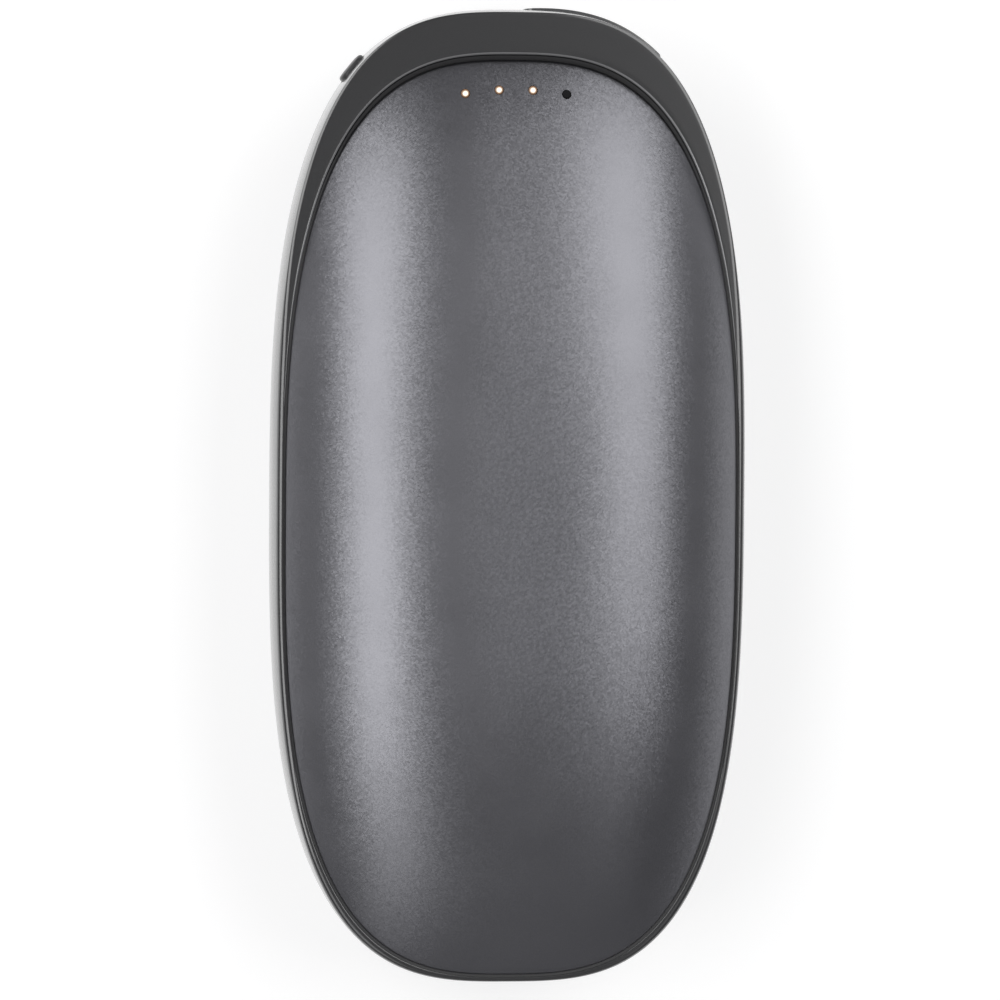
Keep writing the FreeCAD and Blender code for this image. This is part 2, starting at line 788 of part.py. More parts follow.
def make_switch():
    level = place.board_top + size.switch_height / 2
    back = place.switch_face + size.switch_depth
    body = add_body("switch_body", band_frame(size.button_angle, back, level))
    block_sketch = add_sketch(body, "switch_block")
    draw_rectangle(block_sketch, "Sizes.switch_width", "Sizes.switch_height")
    pad(body, block_sketch, "Sizes.switch_depth")
    room = add_sketch(body, "switch_room", "Sizes.switch_depth - Sizes.plunger_root - Sizes.plunger_reach")
    draw_rectangle(room, "Sizes.plunger_width + 2 * Sizes.plunger_gap",
                   "Sizes.plunger_height + 2 * Sizes.plunger_gap")
    pocket(body, room, "Sizes.switch_depth")
    root = place.switch_face + size.plunger_root
    plunger = add_body("switch_plunger", band_frame(size.button_angle, root, level))
    stem = add_sketch(plunger, "plunger_stem")
    draw_rectangle(stem, "Sizes.plunger_width", "Sizes.plunger_height")
    pad(plunger, stem, "Sizes.plunger_root + Sizes.plunger_reach")


# Port cover, pin and socket

def make_cover():
    """Cover that follows the band, with a round bead at its pin and a shallow plug over the socket."""
    slab = cover_slab(0, size.cover_proud, -size.cover_sink)
    free_end = [edge for edge in slab.Edges if is_free_corner(edge)]
    slab = slab.makeFillet(size.cover_corner, free_end)
    pin = hinge_frame().Base
    radius = (size.cover_proud + size.cover_sink) / 2
    bead_base = pin - Vector(0, 0, size.cover_height / 2)
    bead = Part.makeCylinder(radius, size.cover_height, bead_base)
    bore = Part.makeCylinder(size.pin_radius + size.pin_run_gap, size.cover_height, bead_base)
    inset = 2 * (size.plug_gap - size.window_gap)
    depth = size.plug_thickness + size.cover_sink / 2
    plug = block(size.usb_width - inset, size.usb_height - inset, depth, size.plug_corner)
    plug = placed(plug, band_frame(size.port_angle, size.cover_sink + size.plug_thickness))
    add_shape("port_cover", slab.fuse([bead, plug]).cut(bore))
    pin_height = size.cover_height + 2 * size.pin_bite
    add_cover_pin(pin, pin_height)


def is_free_corner(edge):
    """True for the short edges across the cover's thickness at its free end."""
    to_local = band_frame(size.port_angle).inverse()
    ends = [to_local.multVec(vertex.Point) for vertex in edge.Vertexes]
    if len(ends) < 2:
        return False
    crosses = abs(ends[0].z - ends[1].z) > size.cover_sink
    return crosses and min(ends[0].x, ends[1].x) > 0


def add_cover_pin(centre, height):
    pin = add_cylinder("cover_pin", "Sizes.pin_radius", "Sizes.cover_height + 2 * Sizes.pin_bite",
                       centre.x, centre.y, centre.z - height / 2)
    keep(pin, "cover_pin")


def make_socket():
    body = add_body("usb_shell", band_frame(size.port_angle, place.usb_back))
    outer = add_sketch(body, "usb_outer")
    draw_stadium(outer, "Sizes.usb_width", "Sizes.usb_height")
    pad(body, outer, "Sizes.usb_depth")
    inner = add_sketch(body, "usb_inner", "Sizes.usb_wall")
    draw_stadium(inner, "Sizes.usb_width - 2 * Sizes.usb_wall", "Sizes.usb_height - 2 * Sizes.usb_wall")
    pocket(body, inner, "Sizes.usb_depth")
    tongue = add_body("usb_tongue", band_frame(size.port_angle, place.usb_back - size.usb_wall))
    blade = add_sketch(tongue, "tongue_blade")
    draw_rectangle(blade, "Sizes.tongue_width", "Sizes.tongue_thickness")
    pad(tongue, blade, "Sizes.tongue_length")


# Main board and what it carries

def make_board():
    """Board whose outer edge follows the channel of the band."""
    board = band_prism(-size.band_wall - size.board_gap, place.board_base, place.board_top)
    reach = place.band_half_width + size.overrun
    foot = -place.band_half_length - size.overrun
    below = Part.makeBox(2 * reach, place.board_low - foot, size.band_depth,
                         Vector(-reach, foot, place.board_base - size.overrun))
    notch_depth = place.usb_back + size.usb_notch_gap
    notch = block(size.usb_width + 2 * size.usb_notch_gap, size.band_depth, notch_depth)
    notch = placed(notch, band_frame(size.port_angle, notch_depth))
    flange_room = size.switch_width + 2 * size.board_gap
    button_notch = block(flange_room, size.band_depth, place.switch_face)
    button_notch = placed(button_notch, band_frame(size.button_angle, place.switch_face))
    cuts = [below, notch, button_notch]
    for x, y in screw_places():
        base = Vector(x, y, place.board_base - size.overrun)
        cuts.append(Part.makeCylinder(size.screw_radius + size.screw_hole_gap, size.band_depth, base))
    add_shape("main_board", board.cut(cuts))


def make_board_parts():
    chip = add_box("control_chip", "Sizes.chip_width", "Sizes.chip_width", "Sizes.chip_height",
                   -size.chip_side, place.board_low + size.chip_up, place.board_top)
    keep(chip, "control_chip")
    spot = Vector(size.inductor_side, place.board_low + size.inductor_up, place.board_top)
    inductor = add_body("boost_inductor", FreeCAD.Placement(spot, FreeCAD.Rotation()))
    core = add_sketch(inductor, "inductor_core")
    draw_rounded(core, "Sizes.inductor_width", "Sizes.inductor_width", "Sizes.inductor_corner")
    pad(inductor, core, "Sizes.inductor_height")
    capacitors = []
    for number, share in enumerate(CAPACITOR_PITCH_SHARES, start=1):
        capacitors.append(add_box(f"capacitor_{number}", "Sizes.capacitor_width", "Sizes.capacitor_length",
                                  "Sizes.capacitor_height", share * size.capacitor_pitch,
                                  place.board_low + size.capacitor_up, place.board_top))
    add_compound("capacitors", capacitors)
    sockets = []
    for name, level in (("front", place.board_top), ("rear", place.board_base - size.socket_height)):
        sockets.append(add_box(f"{name}_socket", "Sizes.socket_width", "Sizes.socket_length",
                               "Sizes.socket_height", 0,
                               place.board_low + size.socket_up + size.socket_length / 2, level))
    add_compound("film_sockets", sockets)


def make_lights():
    """Four light chips on the board, and the clear guide that carries their light to the front shell.

    The chips sit a step back from the holes, clear of the socket.
    """
    chips = []
    pieces = []
    foot_level = place.board_top + size.light_height + size.guide_foot_gap
    bar_level = place.groove - size.guide_bar_drop
    for number, (x, y) in enumerate(light_places(), start=1):
        chips.append(add_box(f"light_{number}", "Sizes.light_width", "Sizes.light_depth",
                             "Sizes.light_height", x, y - size.light_step, place.board_top))
        foot = add_cylinder(f"guide_foot_{number}", "Sizes.guide_foot_radius", "Sizes.guide_bar_height",
                            x, y - size.light_step, foot_level)
        foot.setExpression("Height", f"{bar_level - foot_level} + Sizes.guide_bar_height / 2")
        tip_level = dome_level(x, y, size.guide_tip_recess)
        tip = add_cylinder(f"guide_tip_{number}", "Sizes.guide_tip_radius", "Sizes.guide_bar_height",
                           x, y, bar_level)
        tip.setExpression("Height", f"{tip_level - bar_level}")
        pieces += [foot, tip]
    add_compound("charge_lights", chips)
    middle = size.shell_half_length - size.light_drop - (size.light_bow + size.light_step) / 2
    pitches = LIGHT_PITCH_SHARES[-1] - LIGHT_PITCH_SHARES[0]
    bar = add_box("guide_bar", f"{pitches} * Sizes.light_pitch + 2 * Sizes.guide_bar_end",
                  "Sizes.guide_bar_width + Sizes.light_step", "Sizes.guide_bar_height",
                  0, middle, bar_level)
    keep(add_fuse("light_guide", [bar] + pieces), "light_guide")


# Cells, tray and screws

def make_cells():
    half_gap = size.tape_thickness / 2
    cell_height = place.stack_half - half_gap
    levels = {"front_cell": place.mid + half_gap, "rear_cell": place.mid - place.stack_half}
    for label, level in levels.items():
        spot = Vector(0, place.cell_middle, level)
        body = add_body(label, FreeCAD.Placement(spot, FreeCAD.Rotation()))
        sketch = add_sketch(body, label + "_pouch")
        draw_rounded(sketch, "2 * (Sizes.shell_half_width - Sizes.cell_side_margin)",
                     "2 * Sizes.shell_half_length - Sizes.cell_foot_margin - Sizes.cell_head_margin",
                     "Sizes.cell_corner")
        pad(body, sketch, "Sizes.band_depth / 2 + Sizes.dome_height - Sizes.crown_space"
                          " - Sizes.tape_thickness / 2")
    tape = add_box("cell_tape", "2 * (Sizes.shell_half_width - Sizes.cell_side_margin - Sizes.tape_margin)",
                   "2 * Sizes.shell_half_length - Sizes.cell_foot_margin - Sizes.cell_head_margin"
                   " - 2 * Sizes.tape_margin",
                   "Sizes.tape_thickness", 0, place.cell_middle, place.mid - half_gap)
    keep(tape, "cell_tape")
    tabs = []
    for tier in SIDES:
        level = place.mid + tier * (half_gap + cell_height / 2) - size.tab_thickness / 2
        for side in SIDES:
            tabs.append(add_box(f"tab_{len(tabs) + 1}", "Sizes.tab_width", "Sizes.tab_length",
                                "Sizes.tab_thickness", side * size.tab_side,
                                place.cell_head + size.tab_length / 2, level))
    add_compound("cell_tabs", tabs)
    board = add_box("protection_board", "Sizes.protection_width", "Sizes.protection_thickness",
                    "Sizes.protection_height", 0, (place.protection_face + place.protection_back) / 2,
                    place.mid - size.protection_height / 2)
    keep(board, "protection_board")
    strips = []
    length = place.board_low + size.strip_landing - place.protection_back
    for side in SIDES:
        strip = add_box(f"strip_{len(strips) + 1}", "Sizes.strip_width",
                        "Sizes.tray_gap + Sizes.tray_wall + Sizes.tray_board_gap + Sizes.strip_landing",
                        "Sizes.strip_thickness", side * size.strip_side,
                        place.protection_back + length / 2, place.board_top)
        strips.append(strip)
    add_compound("power_strips", strips)


def make_tray():
    """Open tray round the cells, with four ears that screw to the band."""
    spot = Vector(0, place.tray_middle, place.mid - size.tray_height / 2)
    body = add_body("battery_tray", FreeCAD.Placement(spot, FreeCAD.Rotation()))
    half_width = "(Sizes.shell_half_width - Sizes.cell_side_margin + Sizes.tray_gap"
    cell_run = "2 * Sizes.shell_half_length - Sizes.cell_foot_margin - Sizes.cell_head_margin"
    inner_length = f"{cell_run} + Sizes.tab_length + Sizes.protection_thickness + 2 * Sizes.tray_gap"
    ear_level = place.board_base - spot.z
    outline = add_sketch(body, "tray_outline")
    draw_rounded(outline, f"2 * {half_width} + Sizes.tray_wall)", f"{inner_length} + 2 * Sizes.tray_wall",
                 "Sizes.tray_corner")
    pad(body, outline, "Sizes.tray_height")
    ears = add_sketch(body, "tray_ears", f"{ear_level}")
    ear_span = f"2 * {half_width} + Sizes.tray_wall + Sizes.ear_reach + Sizes.ear_end)"
    draw_rectangle(ears, ear_span, "Sizes.ear_width", "-Sizes.ear_low")
    draw_rectangle(ears, ear_span, "Sizes.ear_width", "Sizes.ear_high")
    pad(body, ears, "Sizes.board_thickness")
    room = add_sketch(body, "tray_room")
    draw_rounded(room, f"2 * {half_width})", inner_length, "Sizes.tray_corner - Sizes.tray_wall")
    pocket(body, room, "Sizes.tray_height")
    notch = add_sketch(body, "tray_notch", f"{place.board_top - spot.z} - Sizes.notch_sink")
    draw_rectangle(notch, "Sizes.notch_width", "2 * Sizes.tray_wall",
                   f"({inner_length}) / 2 + Sizes.tray_wall / 2")
    pocket(body, notch, "Sizes.tray_height")
    holes = add_sketch(body, "tray_holes", f"{ear_level}")
    for x, y in screw_places():
        if y < place.board_low:
            draw_hole(holes, x, y - spot.y)
    pocket(body, holes, "Sizes.board_thickness")


def draw_hole(sketch, x, y):
    """Screw hole of bound radius at a place."""
    radius = size.screw_radius + size.screw_hole_gap
    circle = sketch.addGeometry(Part.Circle(Vector(x, y, 0), Vector(0, 0, 1), radius))
    drive(sketch, Sketcher.Constraint("Radius", circle, radius), "Sizes.screw_radius + Sizes.screw_hole_gap")
    sketch.addConstraint(Sketcher.Constraint("DistanceX", -1, 1, circle, 3, x))
    sketch.addConstraint(Sketcher.Constraint("DistanceY", -1, 1, circle, 3, y))


def make_screws():
    screws = []
    for number, (x, y) in enumerate(screw_places(), start=1):
        head = add_cylinder(f"screw_head_{number}", "Sizes.screw_head_radius", "Sizes.screw_head_height",
                            x, y, place.board_top)
        shank = add_cylinder(f"screw_shank_{number}", "Sizes.screw_radius",
                             "Sizes.board_thickness + Sizes.screw_bite + Sizes.screw_head_height / 2",
                             x, y, place.board_base - size.screw_bite)
        screws.append(add_fuse(f"screw_{number}", [head, shank]))
    add_compound("case_screws", screws)


# Heating films, their tails, thermistors and pads

def make_films():
    """Thin heating films that follow the inside of both shells."""
    outer = dome_solid(size.shell_wall + size.film_gap)
    film = outer.cut(dome_solid(place.film_inner))
    width = 2 * (place.cell_half_width - size.film_margin)
    length = place.film_head - place.cell_foot
    window = block(width, length, size.dome_height, size.film_corner)
    window = moved_to(window, 0, (place.film_head + place.cell_foot) / 2, place.groove)
    film = film.common(window)
    add_shape("front_film", film)
    add_shape("rear_film", turned_over(film))


def make_pads():
    """Insulation pads: flat on the cells, crowned under the films."""
    crown = dome_solid(place.film_inner + size.pad_gap)
    width = 2 * (place.cell_half_width - size.pad_margin)
    length = place.cell_length - 2 * size.pad_margin
    window = block(width, length, size.dome_height, size.film_corner)
    window = moved_to(window, 0, place.cell_middle, place.mid + place.stack_half)
    cushion = crown.common(window)
    add_shape("front_pad", cushion)
    add_shape("rear_pad", turned_over(cushion))


def bent_tail(film_level, socket_level):
    """Flat tail: along under the film, across to the board in one straight run, and into its socket."""
    start = place.film_head - size.tail_lap
    socket = place.board_low + size.socket_up
    fall = socket - size.tail_fall
    bend = size.tail_bend
    turn = math.copysign(1, socket_level - film_level)
    mid_bend = bend * (1 - math.sqrt(1 / 2))
    points = [
        Vector(0, start, film_level),
        Vector(0, fall - bend, film_level),
        Vector(0, fall - mid_bend, film_level + turn * mid_bend),
        Vector(0, fall, film_level + turn * bend),
        Vector(0, fall, socket_level - turn * bend),
        Vector(0, fall + mid_bend, socket_level - turn * mid_bend),
        Vector(0, fall + bend, socket_level),
        Vector(0, socket, socket_level),
    ]
    path = Part.Wire([
        Part.LineSegment(points[0], points[1]).toShape(),
        Part.Arc(points[1], points[2], points[3]).toShape(),
        Part.LineSegment(points[3], points[4]).toShape(),
        Part.Arc(points[4], points[5], points[6]).toShape(),
        Part.LineSegment(points[6], points[7]).toShape(),
    ])
    half_width = size.tail_width / 2
    half_thickness = size.tail_thickness / 2
    corners = [
        Vector(-half_width, start, film_level - half_thickness),
        Vector(half_width, start, film_level - half_thickness),
        Vector(half_width, start, film_level + half_thickness),
        Vector(-half_width, start, film_level + half_thickness),
    ]
    section = Part.makePolygon(corners + corners[:1])
    return path.makePipeShell([section], True, False)


def make_tails():
    drop = size.tail_gap + size.tail_thickness / 2
    level = dome_level(size.tail_width / 2, place.film_head, place.film_inner) - drop
    add_shape("front_tail", bent_tail(level, place.board_top + size.socket_height / 2))
    rear_level = 2 * place.mid - level
    add_shape("rear_tail", bent_tail(rear_level, place.board_base - size.socket_height / 2))


def make_thermistors():
    """Small temperature sensors under the films, beside the tails."""
    y = place.cell_head + size.bead_lead
    corner_x = size.bead_side + size.bead_width / 2
    corner_y = y + size.bead_length / 2
    level = dome_level(corner_x, corner_y, place.film_inner) - size.tail_gap - size.bead_height
    beads = []
    for name, base in (("front", level), ("rear", 2 * place.mid - level - size.bead_height)):
        beads.append(add_box(f"{name}_bead", "Sizes.bead_width", "Sizes.bead_length", "Sizes.bead_height",
                             size.bead_side, y, base))
    add_compound("thermistors", beads)


def check_and_write():
    """Stop on any failed object or bad shape, then write one file for each sub-part."""
    doc.recompute()
    for item in doc.Objects:
        if "Invalid" in item.State or "Error" in item.State:
            raise RuntimeError(f"{item.Label} failed: {item.State}")
    for item in node_objects:
        if item.Shape.isNull() or not item.Shape.isValid():
            raise RuntimeError(f"{item.Label} has a bad shape")
    os.makedirs("parts", exist_ok=True)
    for item in node_objects:
        item.Shape.exportStep(f"parts/{item.Label}.step")
        print(f"{item.Label}: {len(item.Shape.Solids)} solids, {item.Shape.Volume:.2f} mm3")


def main():
    make_shells()
    make_seals()
    make_band()
    make_button()
    make_switch()
    make_cover()
    make_socket()
    make_board()
    make_board_parts()
    make_lights()
    make_cells()
    make_tray()
    make_screws()
    make_films()
    make_pads()
    make_tails()
    make_thermistors()
    check_and_write()


main()
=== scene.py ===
import json
import math

import bmesh
import bpy
from mathutils import Matrix, Vector
from mathutils.kdtree import KDTree


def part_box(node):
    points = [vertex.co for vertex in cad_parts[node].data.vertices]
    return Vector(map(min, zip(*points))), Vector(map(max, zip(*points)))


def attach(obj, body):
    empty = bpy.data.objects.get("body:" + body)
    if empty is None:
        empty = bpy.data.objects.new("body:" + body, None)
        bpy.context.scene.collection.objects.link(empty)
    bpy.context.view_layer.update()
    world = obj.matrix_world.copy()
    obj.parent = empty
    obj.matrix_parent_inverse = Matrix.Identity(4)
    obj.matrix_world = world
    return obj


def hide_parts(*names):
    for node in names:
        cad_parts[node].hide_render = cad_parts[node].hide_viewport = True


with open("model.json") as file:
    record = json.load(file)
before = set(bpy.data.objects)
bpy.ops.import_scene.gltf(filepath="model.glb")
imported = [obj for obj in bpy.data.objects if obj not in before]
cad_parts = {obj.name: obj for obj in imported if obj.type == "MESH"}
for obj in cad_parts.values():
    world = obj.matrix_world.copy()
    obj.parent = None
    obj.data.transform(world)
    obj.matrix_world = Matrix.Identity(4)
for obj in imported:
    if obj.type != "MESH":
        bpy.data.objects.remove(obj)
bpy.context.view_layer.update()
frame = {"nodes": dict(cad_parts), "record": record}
nodes = frame["nodes"]

# Hand warmer lying on its back on a white table, seen from the front.
# Lengths are in metres and angles in degrees.
# X is the width, Y the length towards the lights and Z the thickness.

shell_low, shell_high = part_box("front_shell")
band_low, band_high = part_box("mid_frame")

# Shells: superellipse outlines, with one power at the head and one at the foot, under a steepening dome
SHELL_HALF_WIDTH = shell_high.x
SHELL_HALF_LENGTH = shell_high.y
SHELL_POWERS = (2.8, 2.92)
SHELL_WALL = 0.0012
SHELL_SKIRT = 0.0012
SHELL_EDGE_ROUND = 0.0005
CROWN_SHARE = 0.3
DOME_POWER = 2.35
OUTER_CROWN_SHARE = 0.1
OUTER_DOME_POWER = 3.0
SKIRT_LOW = shell_low.z
GROOVE = SKIRT_LOW + SHELL_SKIRT
CROWN = shell_high.z
DOME_HEIGHT = CROWN - GROOVE

# Band round the shells, its outer wall bulging from the edges of its faces
MID = (band_low.z + band_high.z) / 2
BAND_HALF_WIDTH = band_high.x
BAND_HALF_LENGTH = (band_high.y - band_low.y) / 2
BAND_LEAD = (band_high.y + band_low.y) / 2
BAND_POWERS = (2.84, 3.0)
BAND_WALL = 0.002
BULGE_HEIGHT = 0.0072
BULGE_SIDE = 0.00195
BULGE_HEAD = 0.0008
BULGE_FOOT = 0.0014
BULGE_POWER_GAIN = 0.35
EDGE_ROUND_FOOT = 0.0007
EDGE_TIGHT_HEAD = 0.0001
EDGE_SOFT_HEAD = 0.0006
EDGE_CHANGE = 58.0
EDGE_BLEND = 0.012
EDGE_ROOM_SHARE = 0.9
BROW_RISE = 0.0014
BROW_RUN = 0.036
BROW_DRAFT = 0.0005
BROW_STEP = 0.00015
BROW_START = band_high.y - BROW_RUN
BROW_RADIUS = (BROW_RUN ** 2 + BROW_RISE ** 2) / (2 * BROW_RISE)
LIP_ROUND_HEAD = 0.00025
LIP_ROUND_FOOT = 0.00012
LEDGE_WIDTH = 0.0015
LEDGE_THICKNESS = 0.001
GROOVE_GAP = 0.00025
SEAL_THICKNESS = 0.0004
SEAT = SKIRT_LOW - SEAL_THICKNESS
SEAL_DROP = 0.0002
SEAL_TOP = GROOVE - SEAL_DROP
SEAL_DEPTH = 0.0003
CHANNEL = SEAT - LEDGE_THICKNESS
BOSS_WIDTH = 0.0044
BOSS_OVERLAP = 0.0005
BOSS_CORNER = 0.00025
SCREW_HOLE = 0.00083

# Power button
BUTTON_ANGLE = 140.7
BUTTON_WIDTH = 0.0034
BUTTON_DEPTH = 0.004
BUTTON_CORNER = 0.00119
BUTTON_GAP = 0.00015
BUTTON_LIP = 0.00035
BUTTON_WALL = 0.0018
BUTTON_END_GAP = 0.00005
BUTTON_PROUD = 0.00045
BUTTON_EDGE = 0.0003
BUTTON_CROWN = 0.00006
BUTTON_FACE_SHARE = 0.9
FLANGE_THICKNESS = 0.0007

# Port cover, its pin and the socket behind it
PORT_ANGLE = 74.3
HINGE_ANGLE = 46.0
COVER_REACH = 0.0075
COVER_HEIGHT = 0.006
COVER_PROUD = 0.00035
COVER_TAPER_SHARE = 0.88
COVER_SINK = 0.0009
COVER_GAP = 0.00015
COVER_CORNER = 0.001
COVER_EDGE = 0.00018
COVER_CROWDING_POWER = 1.5
BEAD_LEAN = 80.0
PLUG_THICKNESS = 0.00055
PLUG_WIDTH = 0.00884
PLUG_HEIGHT = 0.00316
PLUG_CORNER = 0.00105
PLUG_EDGE = 0.0002
PIN_BORE = 0.00036
PIN_SEAT = 0.00032
PIN_BITE = 0.0008
WINDOW_WIDTH = 0.00934
WINDOW_HEIGHT = 0.00366
WINDOW_CORNER = 0.00163
TONGUE_THICKNESS = 0.0007
CONTACT_PITCH = 0.0005
CONTACT_WIDTH = 0.00028
CONTACT_LENGTH = 0.0034
CONTACT_THICKNESS = 0.00004
CONTACT_TIP_DEPTH = 0.0034
CONTACT_COUNT = 12

# Charge lights
LIGHT_PITCH = 0.00357
LIGHT_PITCH_SHARES = (-1.5, -0.5, 0.5, 1.5)
LIGHT_DROP = 0.0032
LIGHT_BOW = 0.0004
LIGHT_HOLE = 0.0005
TIP_RADIUS = 0.00046
TIP_RECESS = 0.00012
TIP_CROWN = 0.00015
TIP_CORE = 0.00016
LIT_LIGHTS = 3

# Insulation pads
PAD_INSET = 0.0017
PAD_CORNER = 0.004
PAD_WAIST_SHARE = 0.03

# Steps of the meshes
TURNS = 480
DOME_RINGS = 40
EDGE_STEPS = 8
FACE_STEPS = 6
WALL_STEPS = 6
CORNER_STEPS = 10
PEG_STEPS = 32
COVER_COLUMNS = 60
BEAD_STEPS = 8
BEVEL_STEPS = 4
PAD_WALL_STEPS = 4
PAD_CROWN_STEPS = 7
PROBE = 0.00005
WELD_DISTANCE = 0.000005
OVERRUN = 0.001
SHARP_ANGLE = 35.0
TURN_LIST = [2 * math.pi * step / TURNS for step in range(TURNS)]
QUARTER_LEANS = [math.pi / 2 * step / EDGE_STEPS for step in range(EDGE_STEPS + 1)]


# Outlines by formula

def power_at(along, powers):
    """Power of an oval on its head half or on its foot half."""
    head_power, foot_power = powers
    return head_power if along > 0 else foot_power


def oval_point(half_width, half_length, powers, turn, centre=0.0):
    """Point of a superellipse at a turn round its centre."""
    across = math.cos(turn)
    along = math.sin(turn)
    power = power_at(along, powers)
    stretch = (abs(across) ** power + abs(along) ** power) ** (-1 / power)
    return Vector((half_width * stretch * across, centre + half_length * stretch * along, 0))


def oval_normal(half_width, half_length, powers, point, centre=0.0):
    """Outward normal of a superellipse at one of its points."""
    across = point.x / half_width
    along = (point.y - centre) / half_length
    power = power_at(along, powers)
    normal_x = math.copysign(abs(across) ** (power - 1), across) / half_width
    normal_y = math.copysign(abs(along) ** (power - 1), along) / half_length
    return Vector((normal_x, normal_y, 0)).normalized()


def shell_point(turn, grow):
    return oval_point(SHELL_HALF_WIDTH + grow, SHELL_HALF_LENGTH + grow, SHELL_POWERS, turn)


def shell_normal(turn):
    return oval_normal(SHELL_HALF_WIDTH, SHELL_HALF_LENGTH, SHELL_POWERS, shell_point(turn, 0))


def band_point(turn, grow):
    return oval_point(BAND_HALF_WIDTH + grow, BAND_HALF_LENGTH + grow, BAND_POWERS, turn, BAND_LEAD)


def band_normal(turn):
    return oval_normal(BAND_HALF_WIDTH, BAND_HALF_LENGTH, BAND_POWERS, band_point(turn, 0), BAND_LEAD)


def band_spot(angle):
    """Point of the band's outline whose outward normal has the given angle."""
    across = math.cos(math.radians(angle))
    along = math.sin(math.radians(angle))
    power = power_at(along, BAND_POWERS)
    ratio = BAND_HALF_WIDTH * abs(across) / (BAND_HALF_LENGTH * abs(along))
    slant = ratio ** (1 / (power - 1))
    high_share = (1 + slant ** power) ** (-1 / power)
    x = math.copysign(BAND_HALF_WIDTH * slant * high_share, across)
    y = BAND_LEAD + math.copysign(BAND_HALF_LENGTH * high_share, along)
    return Vector((x, y, MID))


def direction_at(angle):
    return Vector((math.cos(math.radians(angle)), math.sin(math.radians(angle)), 0))


def band_frame(angle, depth=0.0):
    """Frame on the band: local X along it, local Y up, local Z outward from the given depth."""
    outward = direction_at(angle)
    along = Vector((-outward.y, outward.x, 0))
    axes = Matrix((along, Vector((0, 0, 1)), outward)).transposed()
    return Matrix.Translation(band_spot(angle) - outward * depth) @ axes.to_4x4()


def turn_of(point):
    """Turn of the band's outline in the direction of a point."""
    return math.atan2((point.y - BAND_LEAD) / BAND_HALF_LENGTH, point.x / BAND_HALF_WIDTH)


def at_level(point, level):
    return Vector((point.x, point.y, level))


def ring_share(point, inset):
    """Place of a point between the middle of the shell, at zero, and its outline, at one."""
    power = power_at(point.y, SHELL_POWERS)
    across = abs(point.x / (SHELL_HALF_WIDTH - inset)) ** power
    along = abs(point.y / (SHELL_HALF_LENGTH - inset)) ** power
    return (across + along) ** (1 / power)


def dome_level(point, inset):
    """Height of the front dome above a point: its fuller outside, or a flatter dome inside it."""
    crown_share = CROWN_SHARE if inset else OUTER_CROWN_SHARE
    dome_power = DOME_POWER if inset else OUTER_DOME_POWER
    slope_share = max(0, (ring_share(point, inset) - crown_share) / (1 - crown_share))
    return CROWN - inset - (DOME_HEIGHT - inset) * slope_share ** dome_power


def dome_point(point, inset):
    return at_level(point, dome_level(point, inset))


def brow_level(y):
    """Height of the band's front face: flat over the foot, then rising along an arc to the head."""
    reach = max(0, y - BROW_START)
    return GROOVE + BROW_RADIUS - math.sqrt(BROW_RADIUS ** 2 - reach ** 2)


def mirrored(point):
    """The same point at the back."""
    return at_level(point, 2 * MID - point.z)


def turned_over(rings):
    return [[mirrored(point) for point in ring] for ring in rings]


def rounded_ring(width, length, corner, level):
    """Rectangle with round corners, centred on the local axis."""
    ring = []
    for index, (side_x, side_y) in enumerate(((1, 1), (-1, 1), (-1, -1), (1, -1))):
        centre = Vector((side_x * (width / 2 - corner), side_y * (length / 2 - corner), level))
        for step in range(CORNER_STEPS + 1):
            turn = math.pi / 2 * (index + step / CORNER_STEPS)
            ring.append(centre + corner * Vector((math.cos(turn), math.sin(turn), 0)))
    return ring


def inset_ring(width, length, corner, inset, level):
    """Rounded rectangle drawn in on all sides."""
    return rounded_ring(width - 2 * inset, length - 2 * inset, corner - inset, level)


def circle_ring(x, y, radius, level):
    turns = [2 * math.pi * step / PEG_STEPS for step in range(PEG_STEPS)]
    return [Vector((x + radius * math.cos(turn), y + radius * math.sin(turn), level)) for turn in turns]


# Meshes

def new_object(name, data):
    made = bpy.data.objects.new(name, data)
    bpy.context.scene.collection.objects.link(made)
    return made


def mesh_piece(name, vertices, faces):
    """New object with a mesh whose faces all look outward."""
    mesh = bpy.data.meshes.new(name)
    mesh.from_pydata(vertices, [], faces)
    shaped = bmesh.new()
    shaped.from_mesh(mesh)
    bmesh.ops.recalc_face_normals(shaped, faces=shaped.faces)
    shaped.to_mesh(mesh)
    shaped.free()
    return new_object(name, mesh)


def ring_piece(name, rings, looped=False, place=None):
    """Closed surface through rings of points: capped at both ends, or looped back to the first ring."""
    count = len(rings[0])
    vertices = [place @ point if place else point for ring in rings for point in ring]
    faces = []
    for index in range(len(rings) if looped else len(rings) - 1):
        first = index * count
        second = (index + 1) % len(rings) * count
        for step in range(count):
            after = (step + 1) % count
            faces.append((first + step, first + after, second + after, second + step))
    if not looped:
        last = (len(rings) - 1) * count
        faces.append(tuple(range(count)))
        faces.append(tuple(range(last, last + count)))
    return mesh_piece(name, vertices, faces)


def slab(name, width, length, corner, low, high, place):
    """Rounded block that runs outward from a frame on the band."""
    rings = [rounded_ring(width, length, corner, level) for level in (low, high)]
    return ring_piece(name, rings, place=place)


def peg(name, x, y, radius, low, high):
    return ring_piece(name, [circle_ring(x, y, radius, level) for level in (low, high)])


def bake(piece):
    """Keep what the piece's modifiers made and drop them."""
    graph = bpy.context.evaluated_depsgraph_get()
    mesh = bpy.data.meshes.new_from_object(piece.evaluated_get(graph))
    piece.modifiers.clear()
    piece.data = mesh


def combine(piece, others, operation):
    """Join other closed pieces to a piece, or cut them out of it, and remove them."""
    for other in others:
        modifier = piece.modifiers.new("combine", "BOOLEAN")
        modifier.operation = operation
        modifier.solver = "EXACT"
        modifier.object = other
    bake(piece)
    for other in others:
        bpy.data.objects.remove(other)


